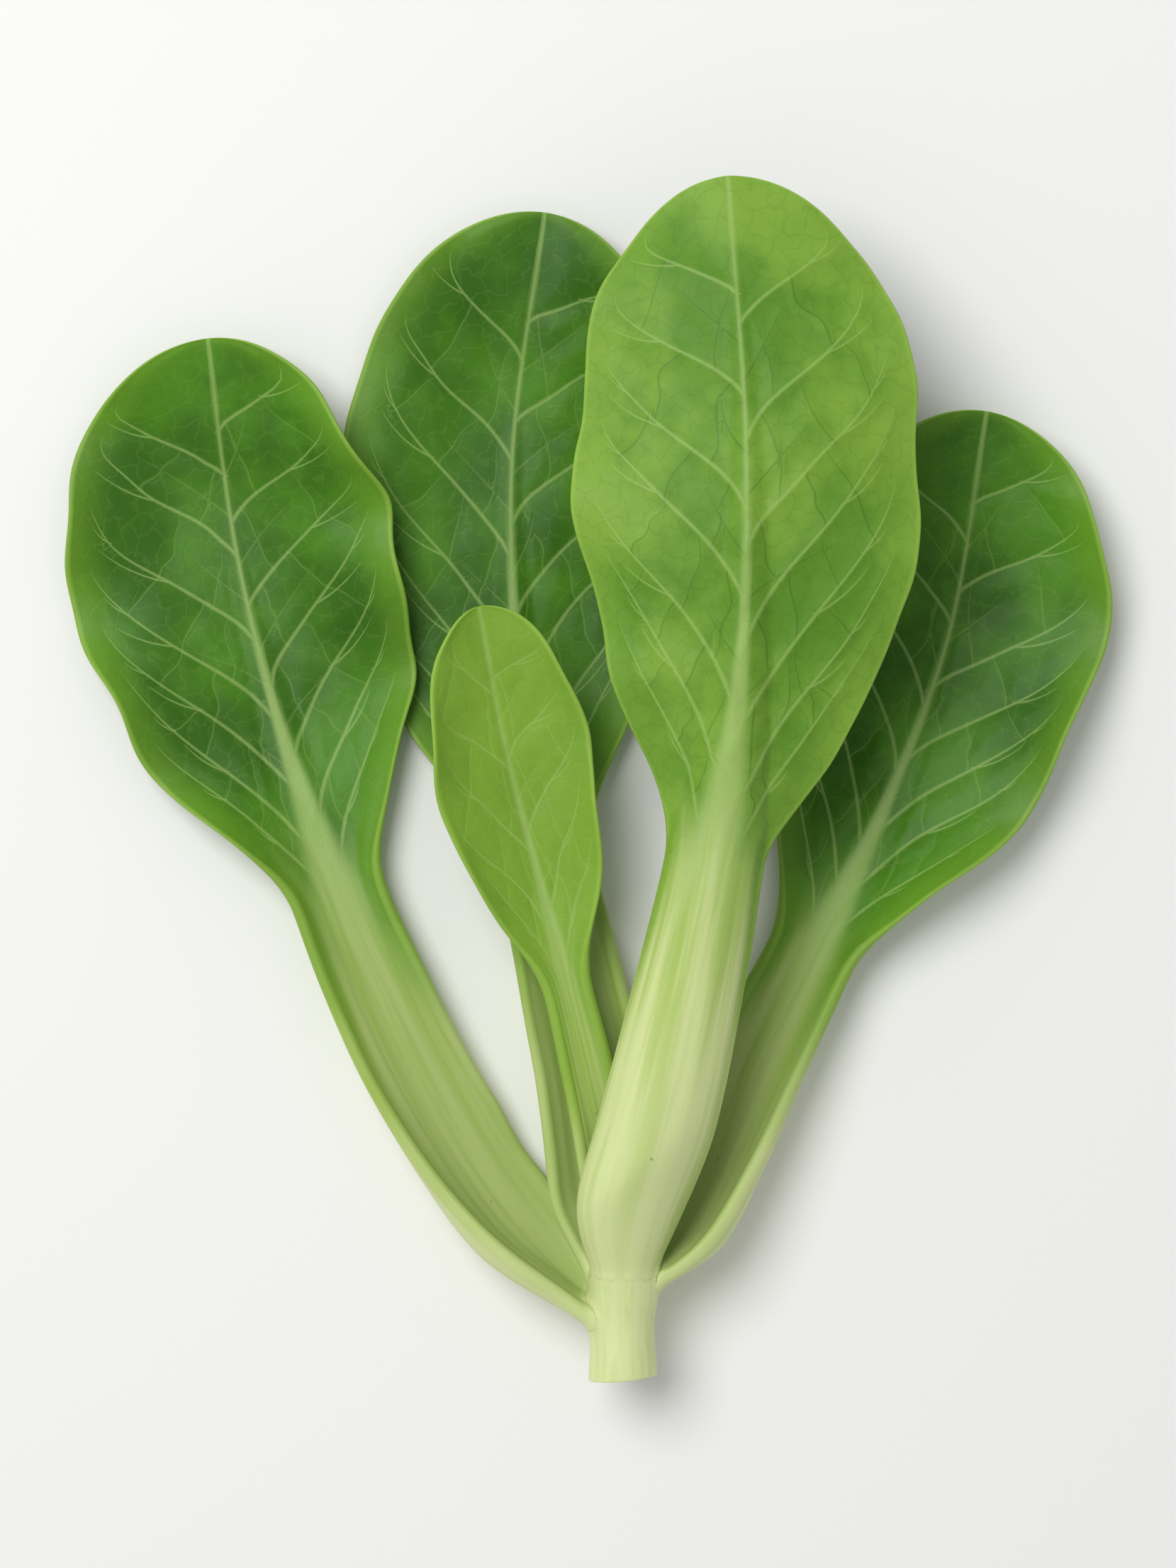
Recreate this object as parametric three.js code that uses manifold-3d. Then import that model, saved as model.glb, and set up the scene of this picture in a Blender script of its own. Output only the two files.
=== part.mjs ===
// A baby bok choy lying on its side: a short cut stem with four spoon-shaped leaves fanned out round it and a
// small heart leaf between them. Each leaf has a thick, pale, channelled stalk that swells just above the stem,
// and a thin green blade with a midrib and a softly waved edge.
//
// Units are millimetres. The plant is drawn in its own frame: the origin is the centre of the stem's cut face,
// +Y runs along the stem to the leaves, +X is to the right and +Z is up. At the end it is moved so that it stands
// on z = 0, centred on x and y.
import * as THREE from "three";
import { mergeVertices } from "three/addons/utils/BufferGeometryUtils.js";
import Module from "manifold-3d";

const wasm = await Module();
wasm.setup();

// Driving dimensions
const surfaceZ = -8.6; // the surface that the plant lies on, below the stem's axis
const jointGap = 0.3; // clearance between neighbouring pieces
const stem = {
  radius: 3.65, length: 11.2, waist: 0.12, waistAt: 5, cutSlope: 0.09, sides: 24,
  shoulder: { below: 1.2, above: 0.2, inset: 0.35 }, crown: { radius: 2.2, rise: 1.54, height: 2.2, steps: 6 },
};
const bladeThickness = 0.7;
const stalkEdgeThickness = 1.2;
const cupAtRoot = 62; // degrees that a stalk's margin turns in from its midline
const cupAtNeck = 42;
const ribTipHalfWidth = 0.5;

// A stalk's width and depth along 0..1 from root to neck, as shares of the leaf's own: pinched where it leaves the
// stem, then a swollen foot, then a slow taper.
const stalkWidth = { pinch: 0.54, pinchReach: 0.19, foot: 1.06, taper: 0.24 };
const stalkDepth = { pinch: 0.45, pinchReach: 0.2, foot: 1, taper: 0.3 };

// A blade's width along 0..1 from neck to tip. Rising and falling powers give wings that run down the stalk and a
// round tip.
const bladeOutline = { rise: 0.72, fall: 0.5 };
const bladePeak = (bladeOutline.rise ** bladeOutline.rise * bladeOutline.fall ** bladeOutline.fall)
  / (bladeOutline.rise + bladeOutline.fall) ** (bladeOutline.rise + bladeOutline.fall);

// How the rib narrows and thins along the blade, and how soon after the neck its cup and its edge are the blade's.
const ribNarrowing = 1.6;
const ribThinning = 1.4;
const cupSettlesBy = 0.3;
const edgeSettlesBy = 0.15;

// A blade's edge waves: they start after the neck, die out at the tip, grow to the margin by a power of the
// distance from the midline, and the left margin is out of step with the right one by an angle.
const waves = { startBy: 0.35, endWithin: 0.12, marginPower: 3, leftShift: 1.9 };

// Each leaf: its midline on the inner face, which way the inner face looks at root, neck and tip, the length of
// midline to the neck where the blade starts, half-widths measured round the curve, the greatest stalk thickness,
// how far the blade cups (degrees at its margin), and the waves of its edge.
const leaves = [
  {
    name: "front_leaf",
    midline: [[0.2, 5, 0.6], [0.3, 11, 1.9], [1.0, 18, 4.2], [3.4, 27, 5.6], [6.3, 39.5, 6.9], [9.8, 57, 9.3],
      [12.6, 78, 12.6], [13.0, 102, 13.6], [11.2, 130, 9.6]],
    innerFace: { root: [0, 0, -1], neck: [0.06, 0, -1], tip: [0.1, 0, -1] },
    neckAt: 53, stalkHalfWidth: 6.3, stalkThickness: 4.6, bladeHalfWidth: 18.8, cup: 19,
    wave: { height: 1.0, count: 3.2, phase: 0.4 },
  },
  {
    name: "left_leaf",
    midline: [[0.5, 4.5, -0.2], [-3.6, 8.0, -1.2], [-9.4, 13.2, -3.0], [-14.6, 19.2, -4.0], [-20.2, 28, -4.4],
      [-26.0, 39.5, -4.9], [-32.0, 54, -5.4], [-38.8, 74, -7.1], [-43.6, 94, -7.3], [-45.8, 114, -3.8]],
    innerFace: { root: [0.6, 0.6, 0.55], neck: [0.12, 0.05, 1], tip: [-0.2, 0, 1] },
    neckAt: 59, stalkHalfWidth: 6.3, stalkThickness: 4.2, bladeHalfWidth: 18.8, cup: 24,
    wave: { height: 1.1, count: 3.4, phase: 3.3 },
  },
  {
    name: "back_leaf",
    midline: [[-0.2, 5, -0.6], [-0.6, 11, -2.0], [-1.6, 18, -4.7], [-2.9, 29, -4.65], [-5.0, 40, -4.7],
      [-8.6, 57, -5.3], [-11.6, 78, -7.8], [-12.2, 102, -7.6], [-8.6, 128, -4.4]],
    innerFace: { root: [0, 0, 1], neck: [0, 0, 1], tip: [0, 0, 1] },
    neckAt: 53, stalkHalfWidth: 6.2, stalkThickness: 4.4, bladeHalfWidth: 18.6, cup: 3,
    wave: { height: 0.4, count: 3.0, phase: 1.2 },
    footLiesFlat: true,
  },
  {
    name: "right_leaf",
    midline: [[0.2, 5.5, -0.4], [3.2, 10.3, -1.2], [7.4, 16.6, -3.0], [11.2, 24.6, -4.0], [15.8, 35.5, -4.4],
      [22.0, 48, -5.2], [29.8, 64, -6.8], [36.6, 83, -7.7], [40.2, 106, -4.2]],
    innerFace: { root: [-0.6, 0.4, 0.6], neck: [-0.3, 0.1, 0.95], tip: [-0.04, 0, 1] },
    neckAt: 46, stalkHalfWidth: 5.9, stalkThickness: 4.0, bladeHalfWidth: 17.4, cup: 22,
    wave: { height: 1.1, count: 3.2, phase: 4.0 },
  },
  {
    name: "heart_leaf",
    midline: [[0, 8, 0], [-0.5, 15, 0.2], [-2.4, 27, 0.6], [-5.4, 40, 1.3], [-9.0, 54, 2.4], [-13.0, 70, 4.4],
      [-15.6, 84, 7.0]],
    innerFace: { root: [0, 0, 1], neck: [0.1, 0, 1], tip: [0.2, 0, 1] },
    neckAt: 36, stalkHalfWidth: 2.8, stalkThickness: 2.2, bladeHalfWidth: 9.2, cup: 38,
    wave: { height: 0.5, count: 2.6, phase: 0.9 },
  },
];

// How finely the leaves are cut into faces
const stalkStations = 12;
const bladeStations = 22;
const crowdingAtTip = 0.6; // how strongly the blade's stations draw together towards its tip
const ribColumns = 2; // columns each side of the midline across the rib
const wingColumns = 4; // columns from the rib to the margin
const ribShareAtMost = 0.5; // of a half section, so that some of it is left for the wing's columns

const stemMaterial = new THREE.MeshStandardMaterial({ color: 0xdbe3b0, roughness: 0.45, metalness: 0 });
const stalkMaterial = new THREE.MeshStandardMaterial({ color: 0xc6d793, roughness: 0.42, metalness: 0 });
const bladeMaterial = new THREE.MeshStandardMaterial({ color: 0x568f33, roughness: 0.5, metalness: 0 });

const { clamp, degToRad, lerp: mix } = THREE.MathUtils;
const smooth = (x) => {
  const t = clamp(x, 0, 1);
  return t * t * (3 - 2 * t);
};
const vectorOf = (p) => new THREE.Vector3(...p);
const stalkShare = ({ pinch, pinchReach, foot, taper }, x) =>
  (1 - pinch * Math.exp(-((x / pinchReach) ** 3))) * (foot - taper * x * x);
const bladeShare = (x) => (x ** bladeOutline.rise * (1 - x) ** bladeOutline.fall) / bladePeak;

// The leaf's cross-section at distance s along its midline.
function sectionAt(leaf, curve, length, s) {
  const u = clamp(s / length, 0, 1);
  const onBlade = s > leaf.neckAt;
  const alongStalk = Math.min(s / leaf.neckAt, 1);
  const alongBlade = clamp((s - leaf.neckAt) / (length - leaf.neckAt), 0, 1);
  const tangent = curve.getTangentAt(u);
  const { root, neck, tip } = leaf.innerFace;
  const look = onBlade
    ? vectorOf(neck).lerp(vectorOf(tip), smooth(alongBlade))
    : vectorOf(root).lerp(vectorOf(neck), smooth(alongStalk));
  const normal = look.addScaledVector(tangent, -look.dot(tangent)).normalize();
  const side = new THREE.Vector3().crossVectors(tangent, normal);
  const stalkHalfWidth = leaf.stalkHalfWidth * stalkShare(stalkWidth, alongStalk);
  const stalkThickness = leaf.stalkThickness * stalkShare(stalkDepth, alongStalk);
  const ribHalfWidth = mix(ribTipHalfWidth, stalkHalfWidth, (1 - alongBlade) ** ribNarrowing);
  const bladeHalfWidth = leaf.bladeHalfWidth * bladeShare(alongBlade);
  const stalkCup = mix(cupAtRoot, cupAtNeck, alongStalk);
  return {
    centre: curve.getPointAt(u),
    normal,
    side,
    halfWidth: (ribHalfWidth ** 4 + bladeHalfWidth ** 4) ** 0.25,
    ribHalfWidth,
    cup: degToRad(mix(stalkCup, leaf.cup, smooth(alongBlade / cupSettlesBy))),
    edgeThickness: mix(stalkEdgeThickness, bladeThickness, smooth(alongBlade / edgeSettlesBy)),
    coreThickness: onBlade ? mix(bladeThickness, stalkThickness, (1 - alongBlade) ** ribThinning) : stalkThickness,
    waveAngle: 2 * Math.PI * leaf.wave.count * alongBlade + leaf.wave.phase,
    waveHeight: leaf.wave.height * smooth(alongBlade / waves.startBy) * smooth((1 - alongBlade) / waves.endWithin),
  };
}

// A point of the section: a is the distance round the curve from the midline, and depth is how far it lies below
// the inner face as a share of the thickness, from 0 to 1. Grow is how far the leaf is swollen for a cutting tool.
function pointOn(section, a, depth, grow) {
  const share = clamp(a / section.ribHalfWidth, -1, 1);
  const thickness = mix(section.edgeThickness, section.coreThickness, 1 - share * share);
  const radius = section.halfWidth / section.cup;
  const angle = (a * (1 + grow / section.halfWidth)) / radius;
  const below = depth * (thickness + 2 * grow) - grow;
  const towardsMargin = Math.abs(a / section.halfWidth) ** waves.marginPower;
  const step = section.waveAngle + (a > 0 ? 0 : waves.leftShift);
  const wave = section.waveHeight * towardsMargin * Math.sin(step);
  const out = (radius + below - wave) * Math.sin(angle);
  const up = radius - (radius + below - wave) * Math.cos(angle);
  const point = section.centre.clone().addScaledVector(section.side, out).addScaledVector(section.normal, up);
  return { point, thickness };
}

// Where a leaf would sink into the surface it is pressed flat on it, both faces alike.
const pressSoftness = 0.6;
function press(z, lowest) {
  const over = z - lowest;
  return lowest + 0.5 * (over + Math.hypot(over, pressSoftness));
}

// Distances across a section from one margin to the other, closer together on the rib.
function columnsOf(section) {
  const rib = Math.min(section.ribHalfWidth, ribShareAtMost * section.halfWidth);
  const half = [];
  for (let i = 1; i <= ribColumns; i++) half.push((rib * i) / ribColumns);
  for (let i = 1; i <= wingColumns; i++) half.push(mix(rib, section.halfWidth, i / wingColumns));
  return [...half.map((a) => -a).reverse(), 0, ...half];
}

// A stretch of a leaf as one closed surface. Both faces are split into triangles alike.
function leafStretch(leaf, curve, stations, grow = 0) {
  const length = curve.getLength();
  const inner = [];
  const outer = [];
  for (const s of stations) {
    const section = sectionAt(leaf, curve, length, s);
    const innerLooksUp = section.normal.z > 0;
    for (const a of columnsOf(section)) {
      for (const [face, depth] of [[inner, 0], [outer, 1]]) {
        const { point, thickness } = pointOn(section, a, depth, grow);
        const isLower = innerLooksUp === (depth === 1);
        const lowest = surfaceZ + (isLower ? 0 : thickness);
        if (!leaf.footLiesFlat || s > leaf.neckAt) point.z = press(point.z, lowest);
        face.push(point);
      }
    }
  }
  const rows = stations.length;
  const columns = inner.length / rows;
  const innerAt = (row, column) => row * columns + column;
  const outerAt = (row, column) => (rows + row) * columns + column;
  const endRow = rows - 1;
  const endColumn = columns - 1;
  const triangles = [];
  const quad = (a, b, c, d) => triangles.push(a, b, c, a, c, d);
  for (let i = 0; i < endRow; i++) {
    for (let j = 0; j < endColumn; j++) {
      quad(innerAt(i, j), innerAt(i, j + 1), innerAt(i + 1, j + 1), innerAt(i + 1, j));
      triangles.push(outerAt(i, j), outerAt(i + 1, j + 1), outerAt(i, j + 1));
      triangles.push(outerAt(i, j), outerAt(i + 1, j), outerAt(i + 1, j + 1));
    }
    quad(innerAt(i, 0), innerAt(i + 1, 0), outerAt(i + 1, 0), outerAt(i, 0));
    quad(innerAt(i, endColumn), outerAt(i, endColumn), outerAt(i + 1, endColumn), innerAt(i + 1, endColumn));
  }
  for (let j = 0; j < endColumn; j++) {
    quad(innerAt(0, j), outerAt(0, j), outerAt(0, j + 1), innerAt(0, j + 1));
    quad(innerAt(endRow, j), innerAt(endRow, j + 1), outerAt(endRow, j + 1), outerAt(endRow, j));
  }
  const geometry = new THREE.BufferGeometry().setFromPoints([...inner, ...outer]);
  geometry.setIndex(triangles);
  return geometry;
}

const drawnToTip = (t) => mix(t, Math.sin((t * Math.PI) / 2), crowdingAtTip);
const spread = (from, to, count, ease = (t) => t) =>
  Array.from({ length: count + 1 }, (_, i) => mix(from, to, ease(i / count)));

// Solids and cuts
const mergeWithin = 1e-4;
function solidOf(geometry) {
  const bare = geometry.clone();
  bare.deleteAttribute("normal");
  bare.deleteAttribute("uv");
  const merged = mergeVertices(bare, mergeWithin);
  return new wasm.Manifold(
    new wasm.Mesh({
      numProp: 3,
      vertProperties: merged.attributes.position.array,
      triVerts: new Uint32Array(merged.index.array),
    }),
  );
}

function geometryOf(solid) {
  const { numProp, vertProperties, triVerts } = solid.getMesh();
  const positions = new Float32Array((vertProperties.length / numProp) * 3);
  for (let i = 0; i < positions.length / 3; i++) {
    positions.set(vertProperties.subarray(i * numProp, i * numProp + 3), i * 3);
  }
  const geometry = new THREE.BufferGeometry();
  geometry.setAttribute("position", new THREE.BufferAttribute(positions, 3));
  geometry.setIndex(new THREE.BufferAttribute(triVerts, 1));
  geometry.computeVertexNormals();
  return geometry;
}

const largestOf = (solid) => solid.decompose().sort((a, b) => b.volume() - a.volume())[0];

// The stem: a round stub, slightly waisted and cut a little aslant, with a low domed crown inside the leaves.
function stemGeometry(grow = 0) {
  const { shoulder, crown } = stem;
  const radius = stem.radius + grow;
  const top = stem.length + grow;
  const dome = new THREE.CatmullRomCurve3([
    new THREE.Vector3(radius, top - shoulder.below, 0),
    new THREE.Vector3(radius - shoulder.inset, top + shoulder.above, 0),
    new THREE.Vector3(crown.radius + grow, top + crown.rise, 0),
    new THREE.Vector3(0, top + crown.height, 0),
  ]).getPoints(crown.steps);
  const profile = [
    new THREE.Vector2(0, -grow),
    new THREE.Vector2(radius, -grow),
    new THREE.Vector2(radius - stem.waist, stem.waistAt),
    ...dome.map((p) => new THREE.Vector2(Math.max(p.x, 0), p.y)),
  ];
  const geometry = new THREE.LatheGeometry(profile, stem.sides);
  const position = geometry.attributes.position;
  for (let i = 0; i < position.count; i++) {
    const nearCut = 1 - smooth(position.getY(i) / stem.length);
    position.setY(i, position.getY(i) + stem.cutSlope * position.getX(i) * nearCut);
  }
  return geometry;
}

function meshOf(name, solid, material) {
  const mesh = new THREE.Mesh(geometryOf(solid), material);
  mesh.name = name;
  return mesh;
}

const plant = new THREE.Group();
plant.add(meshOf("stem_base", solidOf(stemGeometry()), stemMaterial));

// The surface as a block, larger than the plant, that trims the foot which lies flat on it.
const block = { width: 200, length: 300, depth: 20, middleY: 60 };
const surfaceBlock = solidOf(new THREE.BoxGeometry(block.width, block.length, block.depth)
  .translate(0, block.middleY, surfaceZ - block.depth / 2));

// Every stalk is trimmed round the stem and round the stalks already in place.
const cutters = [solidOf(stemGeometry(jointGap))];
for (const leaf of leaves) {
  const curve = new THREE.CatmullRomCurve3(leaf.midline.map(vectorOf), false, "catmullrom", 0.5);
  const length = curve.getLength();
  const toNeck = spread(0, leaf.neckAt - jointGap / 2, stalkStations);
  const toTip = spread(leaf.neckAt + jointGap / 2, length, bladeStations, drawnToTip);
  let stalk = solidOf(leafStretch(leaf, curve, toNeck));
  for (const cutter of cutters) stalk = stalk.subtract(cutter);
  stalk = largestOf(stalk.subtract(surfaceBlock));
  cutters.push(solidOf(leafStretch(leaf, curve, toNeck, jointGap)));
  plant.add(meshOf(leaf.name + "_stalk", stalk, stalkMaterial));
  plant.add(meshOf(leaf.name + "_blade", solidOf(leafStretch(leaf, curve, toTip)), bladeMaterial));
}

// Stand the plant on z = 0, centred on x and y.
const bounds = new THREE.Box3().setFromObject(plant);
const centre = bounds.getCenter(new THREE.Vector3());
for (const piece of plant.children) piece.geometry.translate(-centre.x, -centre.y, -bounds.min.z);

export default plant;
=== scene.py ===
"""Looks for a baby bok choy that lies on its side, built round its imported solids.

Every leaf is one unbroken surface from its foot in the stem to its tip. It follows the same midline, section
and edge waves as the solids of its stalk and blade, and adds what they are too coarse for: a rounded margin,
veins that stand out on the outer face and sink into the inner one, tissue that fills between the veins, and a
foot that flows into the stem. Lengths are in millimetres in the plant's own frame, whose origin is the
centre of the stem's cut face, with +Y along the stem and +Z up. They turn to metres in the row's frame when a
mesh is made.
"""

import logging
import math
from dataclasses import dataclass
from enum import Enum
from functools import cached_property

import bpy
import numpy as np
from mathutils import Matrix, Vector
from mathutils.bvhtree import BVHTree


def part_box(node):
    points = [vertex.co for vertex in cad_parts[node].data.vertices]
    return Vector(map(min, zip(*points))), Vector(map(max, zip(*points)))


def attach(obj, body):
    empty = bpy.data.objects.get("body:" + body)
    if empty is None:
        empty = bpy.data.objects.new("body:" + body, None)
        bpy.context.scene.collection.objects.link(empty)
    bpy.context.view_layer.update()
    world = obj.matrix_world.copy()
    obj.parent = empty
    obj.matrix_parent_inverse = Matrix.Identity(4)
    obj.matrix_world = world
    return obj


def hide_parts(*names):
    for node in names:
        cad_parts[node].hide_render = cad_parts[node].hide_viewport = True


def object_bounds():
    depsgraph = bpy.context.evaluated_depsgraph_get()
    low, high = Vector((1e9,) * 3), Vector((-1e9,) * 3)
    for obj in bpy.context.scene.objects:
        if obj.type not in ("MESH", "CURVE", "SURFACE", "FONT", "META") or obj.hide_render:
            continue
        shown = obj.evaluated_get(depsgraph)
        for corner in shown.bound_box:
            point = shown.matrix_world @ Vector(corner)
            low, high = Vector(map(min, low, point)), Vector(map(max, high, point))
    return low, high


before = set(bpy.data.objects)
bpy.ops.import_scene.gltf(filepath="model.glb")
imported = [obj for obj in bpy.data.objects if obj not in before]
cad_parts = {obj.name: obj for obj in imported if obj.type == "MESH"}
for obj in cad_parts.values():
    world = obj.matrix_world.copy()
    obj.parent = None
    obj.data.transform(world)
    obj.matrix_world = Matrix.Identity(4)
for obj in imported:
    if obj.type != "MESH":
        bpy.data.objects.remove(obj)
cad_low, cad_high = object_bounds()

log = logging.getLogger("bok_choy")

Array = np.ndarray
Triple = tuple[float, float, float]
Thing = bpy.types.Object
Socket = bpy.types.NodeSocket

MM = 0.001

SURFACE_Z = -8.6  # the surface that the plant lies on, below the stem's axis
STEM_RADIUS = 3.65
STEM_LENGTH = 11.2
CUT_SLOPE = 0.09
STALK_SPAN = 6.3  # the half-width that the strands of a stalk are laid out on
FULL_HALF_WIDTH = 18.8  # of a full-grown blade
FAR_AWAY = 1000.0

VEIN_NAMES = ("main_vein", "vein_fork", "thin_vein")

STALK_PALE = "#dbe4a6"  # stem and stalks share these two, so that no edge shows where they join
STALK_GREEN = "#9cba4a"

# Watery tissue lets light in by about a millimetre, green furthest, under a thin film of wax.
TISSUE_LIGHT = {
    "IOR": 1.4,
    "Subsurface Weight": 0.25,
    "Subsurface Radius": (0.8, 1.2, 0.4),
    "Subsurface Scale": 0.8 * MM,
    "Coat Roughness": 0.3,
}


class Slot(Enum):
    """Names of the material slots for the pieces."""

    STEM = "stem"
    BLADE = "blade"


class Field(Enum):
    """A leaf's random fields: the step from the leaf's seed, and the wavelength in mm."""

    OUTLINE = (1, 13.0)
    RAGGED = (2, 7.0)
    SWELL = (3, 27.0)
    STRANDS = (4, 1.9)
    GREENING = (5, 9.0)
    PUCKER = (6, 9.0)
    STREAKS = (7, 2.4)


def smooth(x: Array) -> Array:
    """Ease x from 0 to 1 with no slope at either end."""
    t = np.clip(x, 0.0, 1.0)
    return t * t * (3.0 - 2.0 * t)


def bell(x: Array) -> Array:
    """Fall from 1 at 0 to almost nothing at 2 and -2."""
    return np.exp(-(x**2))


def mix(a: Array, b: Array, t: Array) -> Array:
    """Go from a to b as t goes from 0 to 1."""
    return a + (b - a) * t


def unit(v: Array) -> Array:
    """Scale vectors to a length of 1."""
    return v / np.linalg.norm(v, axis=-1, keepdims=True)


def linear(code: str) -> tuple[float, float, float, float]:
    """Turn an sRGB hex colour to linear light.

    Args:
        code: The colour, such as "#d3dfa0".

    Returns:
        Red, green, blue and an alpha of 1.
    """
    channels = [int(code[i:i + 2], 16) / 255.0 for i in (1, 3, 5)]
    red, green, blue = (c / 12.92 if c <= 0.04045 else ((c + 0.055) / 1.055) ** 2.4 for c in channels)
    return red, green, blue, 1.0


@dataclass(frozen=True)
class PlantFrame:
    """Where the plant's own frame lies in the row's frame, read from the stem's solid."""

    origin: Triple

    @classmethod
    def from_stem(cls) -> "PlantFrame":
        """Find the centre of the stem's cut face from the box of its solid.

        Returns:
            The plant's frame.
        """
        low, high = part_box("stem_base")
        cut_y = low.y + CUT_SLOPE * STEM_RADIUS * MM
        return cls(((low.x + high.x) / 2, cut_y, (low.z + high.z) / 2))

    def to_row(self, points: Array) -> Array:
        """Turn points in mm in the plant's frame to metres in the row's frame."""
        return points * MM + np.array(self.origin)


@dataclass(frozen=True)
class Ripples:
    """A soft random field over a leaf: a sum of seeded sine waves."""

    seed: int
    wavelength: float
    terms: int = 7

    def at(self, x: Array, y: Array) -> Array:
        """Read the field.

        Args:
            x: First coordinate in mm.
            y: Second coordinate in mm.

        Returns:
            Values of about -1 to 1.
        """
        rng = np.random.default_rng(self.seed)
        total = np.zeros(np.broadcast(x, y).shape)
        for _ in range(self.terms):
            turn = rng.uniform(0, 2 * math.pi)
            wave = self.wavelength * rng.uniform(0.7, 1.5)
            phase = rng.uniform(0, 2 * math.pi)
            total = total + np.sin(2 * math.pi * (x * math.cos(turn) + y * math.sin(turn)) / wave + phase)
        return total / math.sqrt(self.terms)


@dataclass(frozen=True)
class Midline:
    """A leaf's midline: a smooth curve through points, measured by its length."""

    points: tuple[Triple, ...]
    steps: int = 200

    def _at_share(self, t: Array) -> Array:
        """Find points of the curve.

        Args:
            t: Shares of its parameter, 0 to 1, of any shape.

        Returns:
            The points.
        """
        given = np.array(self.points)
        padded = np.vstack([2 * given[0] - given[1], given, 2 * given[-1] - given[-2]])
        x = np.clip(t, 0.0, 1.0) * (len(given) - 1)
        i = np.minimum(x.astype(int), len(given) - 2)
        w = (x - i)[..., None]
        before, start, end, after = (padded[i + k] for k in range(4))
        leave = 0.5 * (end - before)
        arrive = 0.5 * (after - start)
        square = 3 * (end - start) - 2 * leave - arrive
        cube = 2 * (start - end) + leave + arrive
        return start + leave * w + square * w**2 + cube * w**3

    @cached_property
    def _table(self) -> tuple[Array, Array]:
        """Measure the curve.

        Returns:
            Shares of its parameter, and the length up to each.
        """
        shares = np.linspace(0.0, 1.0, self.steps + 1)
        chords = np.linalg.norm(np.diff(self._at_share(shares), axis=0), axis=1)
        return shares, np.concatenate([[0.0], np.cumsum(chords)])

    @property
    def length(self) -> float:
        """Length of the midline in mm."""
        return float(self._table[1][-1])

    def at(self, s: Array) -> Array:
        """Points at distances s along the midline."""
        shares, lengths = self._table
        return self._at_share(np.interp(s, lengths, shares))

    def tangent(self, s: Array) -> Array:
        """Find directions of the curve.

        Args:
            s: Distances along the midline in mm.

        Returns:
            Vectors of length 1.
        """
        shares, lengths = self._table
        t = np.interp(s, lengths, shares)
        return unit(self._at_share(t + 1e-4) - self._at_share(t - 1e-4))


@dataclass(frozen=True)
class Taper:
    """How a stalk's width or depth goes from root to neck, as a share of the leaf's own."""

    pinch: float
    pinch_reach: float
    foot: float
    taper: float

    def at(self, x: Array) -> Array:
        """Share at x, from 0 at the root to 1 at the neck."""
        pinched = 1.0 - self.pinch * np.exp(-((x / self.pinch_reach) ** 3))
        return pinched * (self.foot - self.taper * x * x)


@dataclass(frozen=True)
class BladeOutline:
    """How a blade's width goes from neck to tip, as a share of the leaf's own."""

    rise: float = 0.72
    fall: float = 0.5

    def at(self, x: Array) -> Array:
        """Read the width.

        Args:
            x: Share of the blade's length, from 0 at the neck to 1 at the tip.

        Returns:
            Share of the full width.
        """
        both = self.rise + self.fall
        peak = self.rise**self.rise * self.fall**self.fall / both**both
        return x**self.rise * (1.0 - x) ** self.fall / peak


@dataclass(frozen=True)
class EdgeWave:
    """The waves of a blade's edge: height in mm, number of waves, and phase."""

    height: float
    count: float
    phase: float
    start_by: float = 0.35
    end_within: float = 0.12
    margin_power: float = 3.0
    left_shift: float = 1.9

    def at(self, along: Array, across: Array) -> Array:
        """Height of the wave.

        Args:
            along: Share of the blade's length, 0 to 1.
            across: Share of the half-width, -1 to 1.

        Returns:
            Height in mm towards the inner face.
        """
        height = self.height * smooth(along / self.start_by) * smooth((1.0 - along) / self.end_within)
        step = 2 * math.pi * self.count * along + self.phase + np.where(across > 0, 0.0, self.left_shift)
        return height * np.abs(across) ** self.margin_power * np.sin(step)


STALK_WIDTH = Taper(pinch=0.54, pinch_reach=0.19, foot=1.06, taper=0.24)
STALK_DEPTH = Taper(pinch=0.45, pinch_reach=0.2, foot=1.0, taper=0.3)
BLADE_OUTLINE = BladeOutline()


@dataclass(frozen=True)
class Emergence:
    """Where a leaf's foot comes out of the stem.

    Below the height at, the foot keeps inside the stem, and its root dives well below the stem's face. Above
    it the room grows by spread mm for each mm.
    """

    at: float
    spread: float
    inset: float = 0.8
    softness: float = 0.8
    dive: float = 2.2
    dive_height: float = 3.0
    root_length: float = 3.5
    least_room: float = 0.5

    def tuck(self, points: Array, stations: Array, outer: Array) -> Array:
        """Draw a leaf's columns towards the stem's axis until they keep within the room at their height.

        The two faces of a column move by the same share, so that they stay apart.

        Args:
            points: Points of the leaf's rings.
            stations: Distance of each ring along the midline.
            outer: For each point of a ring, the point of the outer face that shares its column.

        Returns:
            The drawn-in points.
        """
        x, y, z = (points[:, outer, i] for i in range(3))
        past = y - self.at
        low = smooth((-1.0 - past) / self.dive_height)
        room = STEM_RADIUS - self.inset + self.spread * 0.5 * (past + np.hypot(past, 1.0)) - self.dive * low
        root = smooth(stations / self.root_length)
        room = mix(STEM_RADIUS - self.inset - self.dive, np.maximum(room, self.least_room), root)
        radius = np.hypot(x, z)
        kept = np.maximum(0.5 * (radius + room - np.hypot(radius - room, self.softness)), 0.0)
        share = np.minimum(kept / np.maximum(radius, 1e-6), 1.0)
        return points * np.stack([share, np.ones_like(share), share], axis=-1)


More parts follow.
